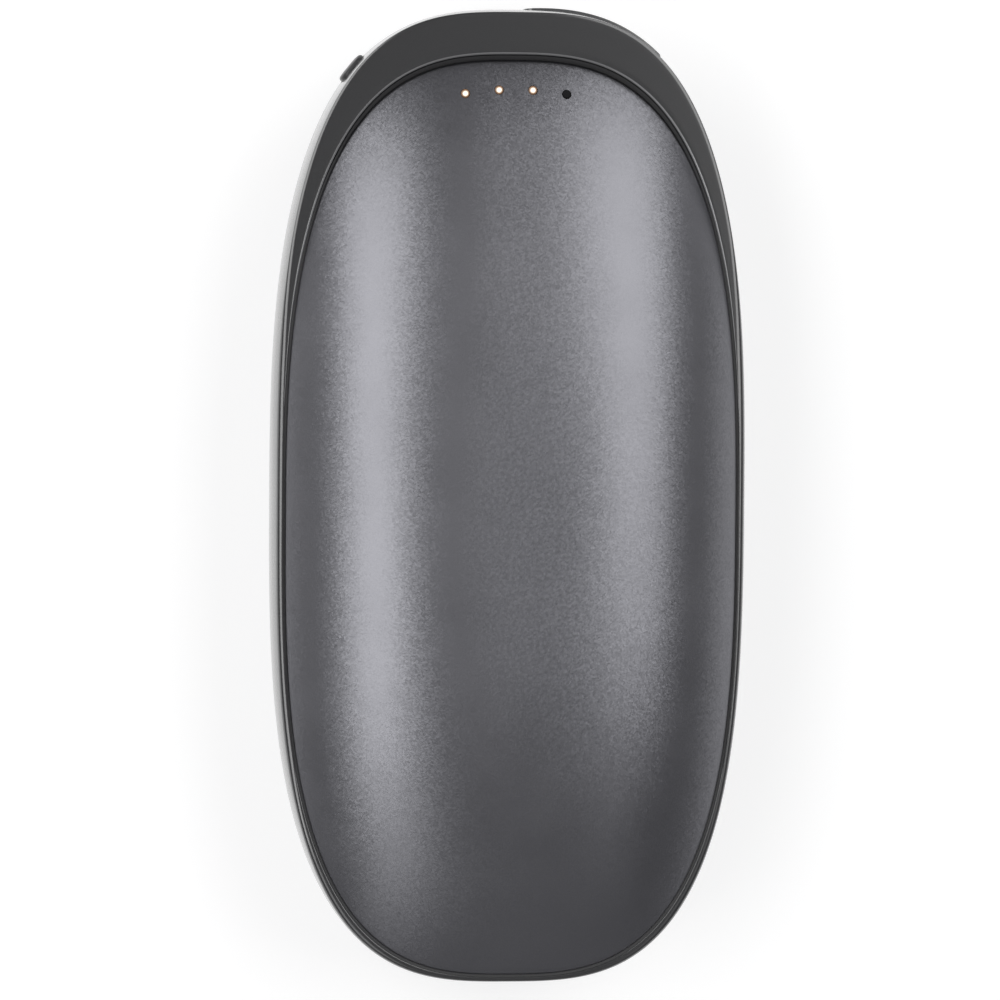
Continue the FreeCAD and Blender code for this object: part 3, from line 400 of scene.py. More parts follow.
def round_edges(piece, width):
    modifier = piece.modifiers.new("edges", "BEVEL")
    modifier.width = width
    modifier.segments = BEVEL_STEPS
    modifier.limit_method = "ANGLE"
    modifier.angle_limit = math.radians(SHARP_ANGLE)
    bake(piece)


def soften(piece):
    """Smooth shading that keeps the sharp edges."""
    piece.data.shade_smooth()
    piece.data.set_sharp_from_angle(angle=math.radians(SHARP_ANGLE))


def island_middles(node):
    """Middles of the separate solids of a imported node, seen from the front."""
    shaped = bmesh.new()
    shaped.from_mesh(nodes[node].data)
    bmesh.ops.remove_doubles(shaped, verts=shaped.verts, dist=WELD_DISTANCE)
    left = set(shaped.verts)
    middles = []
    while left:
        stack = [left.pop()]
        island = []
        while stack:
            vertex = stack.pop()
            island.append(vertex.co.copy())
            for edge in vertex.link_edges:
                other = edge.other_vert(vertex)
                if other in left:
                    left.remove(other)
                    stack.append(other)
        xs = [point.x for point in island]
        ys = [point.y for point in island]
        middles.append(Vector(((min(xs) + max(xs)) / 2, (min(ys) + max(ys)) / 2, 0)))
    shaped.free()
    return middles


# Material nodes

# One unit of the wave texture holds about three stripes
STRIPES_PER_UNIT = 3.14


def new_material(name, roughness, metallic=0.0):
    material = bpy.data.materials.new(name)
    material.use_nodes = True
    tree = material.node_tree
    shader = tree.nodes["Principled BSDF"]
    shader.inputs["Roughness"].default_value = roughness
    shader.inputs["Metallic"].default_value = metallic
    return material, tree, shader


def surface_place(tree, grain, stretch=(1, 1, 1)):
    """Places on the object, scaled so that one unit is one grain."""
    spot = tree.nodes.new("ShaderNodeTexCoord")
    scaled = tree.nodes.new("ShaderNodeMapping")
    scaled.inputs["Scale"].default_value = [share / grain for share in stretch]
    tree.links.new(spot.outputs["Object"], scaled.inputs["Vector"])
    return scaled.outputs["Vector"]


def noise(tree, grain, detail=2.0, stretch=(1, 1, 1)):
    texture = tree.nodes.new("ShaderNodeTexNoise")
    texture.inputs["Scale"].default_value = 1.0
    texture.inputs["Detail"].default_value = detail
    tree.links.new(surface_place(tree, grain, stretch), texture.inputs["Vector"])
    return texture.outputs["Fac"]


def cells(tree, grain):
    """Small cells with a random colour and a distance from their middle."""
    texture = tree.nodes.new("ShaderNodeTexVoronoi")
    texture.inputs["Scale"].default_value = 1.0
    tree.links.new(surface_place(tree, grain), texture.inputs["Vector"])
    return texture


def bands(tree, pitch, direction, distortion=0.0):
    """Stripes of a pitch across one direction of the object."""
    texture = tree.nodes.new("ShaderNodeTexWave")
    texture.bands_direction = direction
    texture.inputs["Scale"].default_value = 1 / STRIPES_PER_UNIT
    texture.inputs["Distortion"].default_value = distortion
    tree.links.new(surface_place(tree, pitch), texture.inputs["Vector"])
    return texture.outputs["Fac"]


def vector_math(tree, operation, *sources):
    node = tree.nodes.new("ShaderNodeVectorMath")
    node.operation = operation
    for source, socket in zip(sources, node.inputs):
        tree.links.new(source, socket)
    return node


def spread(tree, source, low, high, start=0.3, end=0.7):
    """Number that runs from low to high as the source runs from start to end."""
    mapped = tree.nodes.new("ShaderNodeMapRange")
    mapped.inputs["From Min"].default_value = start
    mapped.inputs["From Max"].default_value = end
    mapped.inputs["To Min"].default_value = low
    mapped.inputs["To Max"].default_value = high
    tree.links.new(source, mapped.inputs["Value"])
    return mapped.outputs["Result"]


def tint(tree, source, dark, light, start=0.3, end=0.7):
    """Colour that runs from dark to light as the source runs from start to end."""
    ramp = tree.nodes.new("ShaderNodeValToRGB")
    first, last = ramp.color_ramp.elements
    first.position = start
    first.color = (*dark, 1)
    last.position = end
    last.color = (*light, 1)
    tree.links.new(source, ramp.inputs["Fac"])
    return ramp.outputs["Color"]


def feed(tree, shader, colour, roughness):
    tree.links.new(colour, shader.inputs["Base Color"])
    tree.links.new(roughness, shader.inputs["Roughness"])


def relief(tree, shader, source, height):
    """Fine relief of a height in metres."""
    bump = tree.nodes.new("ShaderNodeBump")
    bump.inputs["Distance"].default_value = height
    bump.inputs["Strength"].default_value = 1.0
    tree.links.new(source, bump.inputs["Height"])
    tree.links.new(bump.outputs["Normal"], shader.inputs["Normal"])


def add_coat(shader, weight, roughness, index):
    """Thin gloss over a finish."""
    shader.inputs["Coat Weight"].default_value = weight
    shader.inputs["Coat Roughness"].default_value = roughness
    shader.inputs["Coat IOR"].default_value = index


def grained(name, dark, light, rough, grain, height, metallic=0.0, stretch=(1, 1, 1)):
    """Finish whose colour, roughness and relief vary with one fine grain."""
    material, tree, shader = new_material(name, rough[0], metallic)
    source = noise(tree, grain, stretch=stretch)
    feed(tree, shader, tint(tree, source, dark, light), spread(tree, source, *rough))
    relief(tree, shader, source, height)
    return material


def shader_of(material):
    return material.node_tree.nodes["Principled BSDF"]


# Materials, one for each slot of the record

FLAKE_SIZE = 0.00016
FLAKE_TILT = 0.08
METAL_DARK = (0.205, 0.205, 0.222)
METAL_LIGHT = (0.237, 0.237, 0.254)
METAL_ROUGHNESS = (0.37, 0.4)
METAL_DETAIL = 3.0
MOTTLE_SIZE = 0.006
CELL_MIDDLE = (0.5, 0.5, 0.5)
BAND_DARK = (0.021, 0.021, 0.022)
BAND_LIGHT = (0.026, 0.026, 0.027)
BAND_ROUGHNESS = (0.34, 0.42)
BAND_GRAIN = 0.00012
BAND_RELIEF = 0.000003
# Painted highlight: lighter colour mixed into the band along the inner edge of its face at the head
LIP_HIGHLIGHT_COLOUR = (0.16, 0.16, 0.163, 1)


def shell_metal():
    """Satin gunmetal: fine flakes that each lean a little another way."""
    material, tree, shader = new_material("shell_metal", METAL_ROUGHNESS[0], metallic=1.0)
    flakes = cells(tree, FLAKE_SIZE)
    centred = vector_math(tree, "SUBTRACT", flakes.outputs["Color"])
    centred.inputs[1].default_value = CELL_MIDDLE
    lean = vector_math(tree, "SCALE", centred.outputs["Vector"])
    lean.inputs["Scale"].default_value = FLAKE_TILT
    surface = tree.nodes.new("ShaderNodeNewGeometry")
    leaned = vector_math(tree, "ADD", surface.outputs["Normal"], lean.outputs["Vector"])
    unit = vector_math(tree, "NORMALIZE", leaned.outputs["Vector"])
    tree.links.new(unit.outputs["Vector"], shader.inputs["Normal"])
    grain = noise(tree, FLAKE_SIZE / 2, METAL_DETAIL)
    mottle = noise(tree, MOTTLE_SIZE, METAL_DETAIL)
    feed(tree, shader, tint(tree, grain, METAL_DARK, METAL_LIGHT), spread(tree, mottle, *METAL_ROUGHNESS))
    return material


def band_plastic():
    """Dark moulded plastic with a fine spark-eroded texture, and a painted highlight: lighter along the
    inner edge of its face at the head.
    """
    material, tree, shader = new_material("band_plastic", BAND_ROUGHNESS[0])
    grain = noise(tree, BAND_GRAIN)
    # Painted highlight along the head's lip, read from a point attribute on the band's mesh
    painted_highlight = tree.nodes.new("ShaderNodeAttribute")
    painted_highlight.attribute_name = "painted_highlight"
    mix = tree.nodes.new("ShaderNodeMixRGB")
    mix.inputs["Color2"].default_value = LIP_HIGHLIGHT_COLOUR
    tree.links.new(painted_highlight.outputs["Fac"], mix.inputs["Fac"])
    tree.links.new(tint(tree, grain, BAND_DARK, BAND_LIGHT), mix.inputs["Color1"])
    feed(tree, shader, mix.outputs["Color"], spread(tree, grain, *BAND_ROUGHNESS))
    relief(tree, shader, grain, BAND_RELIEF)
    add_coat(shader, weight=1.0, roughness=0.15, index=1.75)
    return material


def seal_rubber():
    return grained("seal_rubber", (0.04, 0.04, 0.041), (0.055, 0.055, 0.056),
                   rough=(0.7, 0.85), grain=0.0002, height=0.000008)


def button_plastic():
    return grained("button_plastic", (0.035, 0.035, 0.037), (0.046, 0.046, 0.048),
                   rough=(0.36, 0.46), grain=0.0001, height=0.000003)


def cover_rubber():
    material = grained("cover_rubber", (0.05, 0.05, 0.052), (0.064, 0.064, 0.066),
                       rough=(0.4, 0.5), grain=0.00014, height=0.000005)
    add_coat(shader_of(material), weight=0.8, roughness=0.16, index=1.9)
    return material


def pin_steel():
    return grained("pin_steel", (0.5, 0.5, 0.5), (0.62, 0.62, 0.62),
                   rough=(0.25, 0.38), grain=0.00008, height=0.000002, metallic=1.0, stretch=(4, 4, 0.2))


def socket_steel():
    return grained("socket_steel", (0.55, 0.55, 0.56), (0.68, 0.68, 0.69),
                   rough=(0.22, 0.34), grain=0.0002, height=0.000002, metallic=1.0, stretch=(1, 3, 3))


def tongue_plastic():
    return grained("tongue_plastic", (0.014, 0.014, 0.015), (0.022, 0.022, 0.023),
                   rough=(0.38, 0.5), grain=0.0001, height=0.000002)


def switch_plastic():
    return grained("switch_plastic", (0.02, 0.02, 0.021), (0.03, 0.03, 0.031),
                   rough=(0.4, 0.52), grain=0.0001, height=0.000003)


def plunger_plastic():
    return grained("plunger_plastic", (0.55, 0.54, 0.5), (0.66, 0.65, 0.61),
                   rough=(0.35, 0.48), grain=0.0001, height=0.000003)


def guide_clear():
    """Clear moulding with faint flow marks."""
    material = grained("guide_clear", (0.82, 0.84, 0.85), (0.92, 0.94, 0.95),
                       rough=(0.06, 0.14), grain=0.0012, height=0.000002)
    shader = shader_of(material)
    shader.inputs["Transmission Weight"].default_value = 0.85
    shader.inputs["IOR"].default_value = 1.49
    return material


def light_phosphor():
    return grained("light_phosphor", (0.85, 0.72, 0.3), (0.95, 0.85, 0.45),
                   rough=(0.45, 0.6), grain=0.00015, height=0.000004)


def board_laminate():
    """Solder mask over copper tracks."""
    track_pitch = 0.0011
    track_height = 0.00002
    mask_grain = 0.0004
    mask_dark = (0.008, 0.05, 0.022)
    mask_light = (0.016, 0.085, 0.036)
    material, tree, shader = new_material("board_laminate", roughness=0.4)
    tracks = bands(tree, track_pitch, "DIAGONAL", distortion=3.0)
    mask = tint(tree, tracks, mask_dark, mask_light, start=0.55, end=0.62)
    feed(tree, shader, mask, spread(tree, noise(tree, mask_grain), low=0.32, high=0.48))
    relief(tree, shader, tracks, track_height)
    shader.inputs["Coat Weight"].default_value = 0.3
    return material


def chip_resin():
    return grained("chip_resin", (0.012, 0.012, 0.013), (0.022, 0.022, 0.023),
                   rough=(0.5, 0.68), grain=0.00012, height=0.000006)


def ferrite():
    return grained("ferrite", (0.03, 0.03, 0.031), (0.055, 0.055, 0.056),
                   rough=(0.55, 0.75), grain=0.00018, height=0.00001)


def capacitor_ceramic():
    return grained("capacitor_ceramic", (0.28, 0.16, 0.09), (0.38, 0.23, 0.13),
                   rough=(0.35, 0.5), grain=0.00015, height=0.000004)


def connector_plastic():
    return grained("connector_plastic", (0.6, 0.58, 0.52), (0.72, 0.7, 0.64),
                   rough=(0.4, 0.55), grain=0.00015, height=0.000004)


def cell_foil():
    """Aluminium pouch with a fine pressed pattern."""
    pattern_size = 0.0006
    pattern_height = 0.00003
    crease_size = 0.004
    foil_dark = (0.62, 0.63, 0.65)
    foil_light = (0.8, 0.81, 0.83)
    material, tree, shader = new_material("cell_foil", roughness=0.35, metallic=1.0)
    pressed = cells(tree, pattern_size)
    crease = noise(tree, crease_size, detail=4.0)
    feed(tree, shader, tint(tree, crease, foil_dark, foil_light), spread(tree, crease, low=0.28, high=0.45))
    relief(tree, shader, pressed.outputs["Distance"], pattern_height)
    return material


def tape_film():
    return grained("tape_film", (0.5, 0.34, 0.06), (0.62, 0.44, 0.1),
                   rough=(0.3, 0.45), grain=0.0008, height=0.00001)


def nickel():
    return grained("nickel", (0.5, 0.48, 0.44), (0.64, 0.61, 0.56),
                   rough=(0.25, 0.4), grain=0.0003, height=0.000003, metallic=1.0, stretch=(3, 0.4, 3))


def tray_plastic():
    return grained("tray_plastic", (0.03, 0.03, 0.032), (0.045, 0.045, 0.047),
                   rough=(0.5, 0.65), grain=0.00025, height=0.000008)


def screw_steel():
    return grained("screw_steel", (0.35, 0.35, 0.36), (0.5, 0.5, 0.51),
                   rough=(0.28, 0.42), grain=0.00012, height=0.000003, metallic=1.0)


def film_polyimide():
    """Amber film with a winding heating track in it."""
    track_pitch = 0.0016
    track_height = 0.00002
    film_amber = (0.36, 0.16, 0.03)
    track_copper = (0.5, 0.24, 0.1)
    material, tree, shader = new_material("film_polyimide", roughness=0.3)
    track = bands(tree, track_pitch, "X", distortion=1.5)
    colour = tint(tree, track, film_amber, track_copper, start=0.5, end=0.58)
    feed(tree, shader, colour, spread(tree, track, low=0.24, high=0.36))
    relief(tree, shader, track, track_height)
    return material


def pad_foam():
    """Closed-cell foam."""
    pore_size = 0.0005
    pore_depth = 0.0001
    foam_dark = (0.5, 0.5, 0.48)
    foam_light = (0.72, 0.72, 0.69)
    material, tree, shader = new_material("pad_foam", roughness=0.9)
    pores = cells(tree, pore_size).outputs["Distance"]
    feed(tree, shader, tint(tree, pores, foam_dark, foam_light), spread(tree, pores, low=0.8, high=0.95))
    relief(tree, shader, pores, pore_depth)
    return material


def bead_resin():
    return grained("bead_resin", (0.02, 0.022, 0.03), (0.035, 0.038, 0.05),
                   rough=(0.3, 0.42), grain=0.0003, height=0.000006)


MATERIAL_MAKERS = (
    shell_metal, band_plastic, seal_rubber, button_plastic, cover_rubber, pin_steel, socket_steel,
    tongue_plastic, switch_plastic, plunger_plastic, guide_clear, light_phosphor, board_laminate,
    chip_resin, ferrite, capacitor_ceramic, connector_plastic, cell_foil, tape_film, nickel, tray_plastic,
    screw_steel, film_polyimide, pad_foam, bead_resin,
)
materials = {maker.__name__: maker() for maker in MATERIAL_MAKERS}


# Materials of small pieces that have no slot of their own

TIP_MIDDLE_COLOUR = (1.0, 0.84, 0.68)
TIP_EDGE_COLOUR = (0.16, 0.09, 0.05)
TIP_GLOW = 0.72


def contact_gold():
    return grained("contact_gold", (0.72, 0.48, 0.16), (0.86, 0.6, 0.24),
                   rough=(0.22, 0.34), grain=0.0001, height=0.000001, metallic=1.0)


def lit_tip():
    """Glowing end of the light guide: warm white in its middle, amber at its edge."""
    material, tree, shader = new_material("lit_tip", roughness=0.3)
    spot = tree.nodes.new("ShaderNodeTexCoord")
    flat = vector_math(tree, "MULTIPLY", spot.outputs["Object"])
    flat.inputs[1].default_value = (1, 1, 0)
    away = vector_math(tree, "LENGTH", flat.outputs["Vector"])
    edge = spread(tree, away.outputs["Value"], 0, 1, TIP_CORE, TIP_RADIUS)
    glow = tint(tree, edge, TIP_MIDDLE_COLOUR, TIP_EDGE_COLOUR, start=0.1, end=0.6)
    tree.links.new(glow, shader.inputs["Base Color"])
    tree.links.new(glow, shader.inputs["Emission Color"])
    shader.inputs["Emission Strength"].default_value = TIP_GLOW
    return material


def dark_tip():
    material = grained("dark_tip", (0.006, 0.006, 0.007), (0.01, 0.01, 0.011),
                       rough=(0.75, 0.9), grain=0.0002, height=0.000004)
    shader_of(material).inputs["Specular IOR Level"].default_value = 0.2
    return material


def dress(piece, slot, body="case", replaced=None):
    """Give a finished piece its material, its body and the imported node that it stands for."""
    piece.data.materials.clear()
    piece.data.materials.append(materials[slot])
    soften(piece)
    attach(piece, body)
    if replaced:
        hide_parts(replaced)


# Shells

def rim_edge(turn):
    """Round between the skirt and the dome at a turn, from the skirt upwards."""
    rim = shell_point(turn, 0)
    outward = shell_normal(turn)
    inside = rim - outward * PROBE
    tilt = math.atan2(dome_level(inside, 0) - dome_level(rim, 0), PROBE)
    centre_level = dome_level(rim, 0) + SHELL_EDGE_ROUND * (math.tan(tilt) - 1 / math.cos(tilt))
    points = []
    for step in range(EDGE_STEPS + 1):
        lean = math.pi / 2 + (tilt - math.pi / 2) * step / EDGE_STEPS
        point = rim - outward * SHELL_EDGE_ROUND * (1 - math.sin(lean))
        points.append(at_level(point, centre_level + SHELL_EDGE_ROUND * math.cos(lean)))
    return points


def shell_rings():
    """Rings of the front shell: down the inside from its crown, then up the outside to its crown."""
    inner_rims = [shell_point(turn, -SHELL_WALL) for turn in TURN_LIST]
    outer_rims = [shell_point(turn, 0) for turn in TURN_LIST]
    rings = []
    for step in range(DOME_RINGS + 1):
        scale = CROWN_SHARE + (1 - CROWN_SHARE) * step / DOME_RINGS
        rings.append([dome_point(rim * scale, SHELL_WALL) for rim in inner_rims])
    rings.append([at_level(rim, SKIRT_LOW) for rim in inner_rims])
    rings.append([at_level(rim, SKIRT_LOW) for rim in outer_rims])
    edges = [rim_edge(turn) for turn in TURN_LIST]
    for step in range(EDGE_STEPS + 1):
        rings.append([edge[step] for edge in edges])
    for step in range(1, DOME_RINGS + 1):
        share = step / DOME_RINGS
        ring = []
        for rim, edge in zip(outer_rims, edges):
            ring.append(dome_point(edge[-1].lerp(rim * OUTER_CROWN_SHARE, share), 0))
        rings.append(ring)
    return rings


def light_places():
    """Places of the four charge lights on the front shell, in a shallow bow."""
    places = []
    for share in LIGHT_PITCH_SHARES:
        drop = LIGHT_DROP + (LIGHT_BOW if abs(share) > 1 else 0)
        places.append(Vector((share * LIGHT_PITCH, SHELL_HALF_LENGTH - drop, 0)))
    return places


def make_shells():
    rings = shell_rings()
    front = ring_piece("front_cover", rings)
    holes = []
    for spot in light_places():
        holes.append(peg("hole", spot.x, spot.y, LIGHT_HOLE, GROOVE, CROWN))
    combine(front, holes, "DIFFERENCE")
    dress(front, "shell_metal", replaced="front_shell")
    rear = ring_piece("rear_cover", turned_over(rings))
    dress(rear, "shell_metal", replaced="rear_shell")


def make_light_tips():
    """Domed ends of the light guide in the shell's holes: three lit, the last one dark."""
    lit = lit_tip()
    dark = dark_tip()
    for number, spot in enumerate(light_places(), start=1):
        rings = []
        for lean in QUARTER_LEANS[:-1]:
            rings.append(circle_ring(0, 0, TIP_RADIUS * math.cos(lean), TIP_CROWN * math.sin(lean)))
        tip = ring_piece(f"light_tip_{number}", rings)
        tip.location = at_level(spot, dome_level(spot, 0) - TIP_RECESS)
        tip.data.materials.append(lit if number <= LIT_LIGHTS else dark)
        soften(tip)
        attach(tip, "case")


# Band

def seat_grow(level):
    """How far the seat's wall stands off the shell's outline at a level."""
    rise = max(0, level - GROOVE - BROW_STEP)
    return GROOVE_GAP + BROW_DRAFT * rise / BROW_RISE


def bulge_point(turn, level):
    """Point of the band's outer wall at a level: widest in the middle and drawn in towards the faces."""
    bulge_share = 1 - math.sqrt(1 - ((level - MID) / BULGE_HEIGHT) ** 2)
    half_width = BAND_HALF_WIDTH - BULGE_SIDE * bulge_share
    half_length = BAND_HALF_LENGTH - (BULGE_HEAD + BULGE_FOOT) / 2 * bulge_share
    centre = BAND_LEAD + (BULGE_FOOT - BULGE_HEAD) / 2 * bulge_share
    powers = [power + BULGE_POWER_GAIN * bulge_share for power in BAND_POWERS]
    return at_level(oval_point(half_width, half_length, powers, turn, centre), level)


def head_share(y):
    """Zero over the foot and the sides of the band, one at its head, with a short blend between them."""
    return min(1, max(0, (y - BROW_START) / EDGE_BLEND))


def lip_round(turn):
    """Radius of the face's inner edge at a turn."""
    return LIP_ROUND_FOOT + (LIP_ROUND_HEAD - LIP_ROUND_FOOT) * head_share(band_point(turn, 0).y)


def edge_steps(lean_in, tight, soft):
    """Runs inwards and rises along the edge of the band's face: a tight round, then a softer one."""
    change = math.radians(EDGE_CHANGE)
    steps = []
    for first, last, radius in ((lean_in, change, tight), (change, math.pi / 2, soft)):
        leans = [first + (last - first) * step / EDGE_STEPS for step in range(EDGE_STEPS + 1)]
        for lean, after in zip(leans, leans[1:]):
            run = radius * (math.cos(lean) - math.cos(after))
            rise = radius * (math.sin(after) - math.sin(lean))
            steps.append((run, rise))
    return steps


def outer_wall(turn, lip):
    """Bulging outside of the band at a turn, from its middle to the round edge of its face."""
    outward = band_normal(turn)
    rim = band_point(turn, 0)
    level = brow_level(bulge_point(turn, brow_level(rim.y)).y)
    corner = bulge_point(turn, level)
    lean_in = math.atan2((bulge_point(turn, level - PROBE) - corner).dot(outward), PROBE)
    tight = EDGE_ROUND_FOOT + (EDGE_TIGHT_HEAD - EDGE_ROUND_FOOT) * head_share(rim.y)
    soft = EDGE_ROUND_FOOT + (EDGE_SOFT_HEAD - EDGE_ROUND_FOOT) * head_share(rim.y)
    steps = edge_steps(lean_in, tight, soft)
    room = at_level(corner - lip, 0).length - lip_round(turn)
    scale = min(1, EDGE_ROOM_SHARE * room / sum(run for run, rise in steps))
    drop = scale * sum(rise for run, rise in steps)
    wall_top = level - drop
    points = []
    for step in range(WALL_STEPS + 1):
        points.append(bulge_point(turn, MID + (wall_top - MID) * step / WALL_STEPS))
    point = points[-1]
    for run, rise in steps:
        drop -= scale * rise
        point = point - outward * scale * run
        points.append(at_level(point, brow_level(point.y) - drop))
    return points


def lip_point(turn):
    """Corner between the band's face and its seat at a turn, before it is rounded."""
    return shell_point(turn, seat_grow(brow_level(shell_point(turn, GROOVE_GAP).y)))


def lip_edge(turn):
    """Round of that corner, from the face down to the seat's wall."""
    radius = lip_round(turn)
    points = []
    for lean in QUARTER_LEANS:
        point = lip_point(turn) + shell_normal(turn) * radius * (1 - math.sin(lean))
        points.append(at_level(point, brow_level(point.y) - radius * (1 - math.cos(lean))))
    return points


def band_section(turn):
    """Front half of the band's section at a turn, from outside over its face to the inside."""
    points = outer_wall(turn, lip_point(turn))
    edge = lip_edge(turn)
    face_start = points[-1]
    for step in range(1, FACE_STEPS):
        point = face_start.lerp(edge[0], step / FACE_STEPS)
        points.append(at_level(point, brow_level(point.y)))
    points += edge
    wall_top = points[-1].z
    for step in range(1, WALL_STEPS + 1):
        level = wall_top + (SEAT - wall_top) * step / WALL_STEPS
        points.append(at_level(shell_point(turn, seat_grow(level)), level))
    ledge = shell_point(turn, -LEDGE_WIDTH)
    inside = band_point(turn, -BAND_WALL)
    points += [at_level(ledge, SEAT), at_level(ledge, CHANNEL)]
    points += [at_level(inside, CHANNEL), at_level(inside, MID)]
    return points


def cover_turns(gap):
    """Turns along the port cover, from its free end to its pin and closer at the free end."""
    end = turn_of(band_frame(PORT_ANGLE) @ Vector((COVER_REACH + gap, 0, 0)))
    hinge = turn_of(band_spot(HINGE_ANGLE))
    shares = [(step / COVER_COLUMNS) ** COVER_CROWDING_POWER for step in range(COVER_COLUMNS + 1)]
    return [end + (hinge - end) * share for share in shares]


def cover_section(inner, outer, half_height):
    """Rectangle across the port cover's strip."""
    low = MID - half_height
    high = MID + half_height
    return [at_level(inner, low), at_level(inner, high), at_level(outer, high), at_level(outer, low)]


def cover_rings(gap, proud, sink, taper_share=0.0):
    """Sections of a strip along the band, thinning towards the round corners of its free end."""
    turns = cover_turns(gap)
    tip = band_point(turns[0], 0)
    corner = COVER_CORNER + gap
    rings = []
    for step, turn in enumerate(turns):
        point = band_point(turn, 0)
        outward = band_normal(turn)
        top = proud * (1 - taper_share * (1 - step / COVER_COLUMNS) ** 2)
        near = min((point - tip).length, corner)
        round_off = corner - math.sqrt(corner ** 2 - (corner - near) ** 2)
        half_height = COVER_HEIGHT / 2 + gap - round_off
        rings.append(cover_section(point - outward * sink, point + outward * top, half_height))
    return rings


def pin_spot():
    """Middle of the pin, halfway through the port cover."""
    return band_frame(HINGE_ANGLE, (COVER_SINK - COVER_PROUD) / 2).translation


def band_openings():
    """Solids to cut from the band for the button, the port cover with its pin, and the socket."""
    button = band_frame(BUTTON_ANGLE)
    port = band_frame(PORT_ANGLE)
    pin = pin_spot()
    gap = 2 * BUTTON_GAP
    cuts = [slab("hole", BUTTON_WIDTH + gap, BUTTON_DEPTH + gap, BUTTON_CORNER + BUTTON_GAP,
                 -BUTTON_WALL - OVERRUN, OVERRUN, button)]
    room = 2 * (BUTTON_LIP + gap)
    cuts.append(slab("hole", BUTTON_WIDTH + room, 2 * (CHANNEL - MID), BUTTON_GAP,
                     -BUTTON_WALL - BAND_WALL, -BUTTON_WALL, button))
    reach = COVER_HEIGHT / 2 + PIN_BITE
    cuts.append(peg("hole", pin.x, pin.y, PIN_SEAT, MID - reach, MID + reach))
    cuts.append(ring_piece("hole", cover_rings(COVER_GAP, COVER_PROUD + OVERRUN, COVER_SINK + COVER_GAP)))
    reach = COVER_HEIGHT / 2 + COVER_GAP
    bead = (COVER_PROUD + COVER_SINK) / 2 + COVER_GAP
    cuts.append(peg("hole", pin.x, pin.y, bead, MID - reach, MID + reach))
    cuts.append(slab("hole", WINDOW_WIDTH, WINDOW_HEIGHT, WINDOW_CORNER,
                     -BAND_WALL - OVERRUN, OVERRUN, port))
    return cuts


def boss_blocks(screws):
    """Blocks that reach inwards from the band under the board and the tray's ears."""
    base = 2 * MID - SEAT
    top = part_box("main_board")[0].z
    blocks = []
    for spot in screws:
        side = math.copysign(1, spot.x)
        along = (spot.y - BAND_LEAD) / BAND_HALF_LENGTH
        power = power_at(along, BAND_POWERS)
        wall_x = BAND_HALF_WIDTH * (1 - abs(along) ** power) ** (1 / power)
        inner = abs(spot.x) - BOSS_WIDTH / 2
        outer = wall_x - BAND_WALL + BOSS_OVERLAP
        middle = Matrix.Translation((side * (inner + outer) / 2, spot.y, 0))
        blocks.append(slab("boss", outer - inner, BOSS_WIDTH, BOSS_CORNER, base, top, middle))
    return blocks


def mark_painted_highlight(band):
    """Keep on the band's points how strongly a painted highlight lightens the round inner edge of each
    face: at the head only.
    """
    highlight_spots = [point for turn in TURN_LIST for point in lip_edge(turn)[1:-1]]
    highlight_spots += [mirrored(point) for point in highlight_spots]
    tree = KDTree(len(highlight_spots))
    for index, point in enumerate(highlight_spots):
        tree.insert(point, index)
    tree.balance()
    painted_highlight = band.data.attributes.new("painted_highlight", "FLOAT", "POINT")
    for vertex in band.data.vertices:
        away = tree.find(vertex.co)[2]
        painted_highlight.data[vertex.index].value = head_share(vertex.co.y) if away < WELD_DISTANCE else 0


def make_band():
    """Looped rings of the band's section, then its openings, its bosses and their screw holes."""
    sections = [band_section(turn) for turn in TURN_LIST]
    front = [list(ring) for ring in zip(*sections)]
    back = turned_over(front[1:-1])
    band = ring_piece("case_band", front + back[::-1], looped=True)
    combine(band, band_openings(), "DIFFERENCE")
    screws = island_middles("case_screws")
    combine(band, boss_blocks(screws), "UNION")
    low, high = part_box("case_screws")
    holes = [peg("hole", spot.x, spot.y, SCREW_HOLE, low.z - OVERRUN, high.z) for spot in screws]
    combine(band, holes, "DIFFERENCE")
    # Paint the lip highlight onto the band's points
    mark_painted_highlight(band)
    dress(band, "band_plastic", replaced="mid_frame")


def make_seals():
    """Rings under the shells' skirts, each with an upright edge in the groove that leans to the band."""
    sections = []
    for turn in TURN_LIST:
        lip = brow_level(shell_point(turn, GROOVE_GAP).y)
        high = max(SEAL_TOP + PROBE, lip - SEAL_DEPTH)
        section = ((-SHELL_WALL, SEAT), (GROOVE_GAP, SEAT), (GROOVE_GAP, SEAL_TOP), (seat_grow(high), high),
                   (0, SEAL_TOP), (0, SKIRT_LOW), (-SHELL_WALL, SKIRT_LOW))
        sections.append([at_level(shell_point(turn, grow), level) for grow, level in section])
    rings = [list(ring) for ring in zip(*sections)]
    front = ring_piece("front_gasket", rings, looped=True)
    dress(front, "seal_rubber", replaced="front_seal")
    rear = ring_piece("rear_gasket", turned_over(rings), looped=True)
    dress(rear, "seal_rubber", replaced="rear_seal")


# Power button and port cover

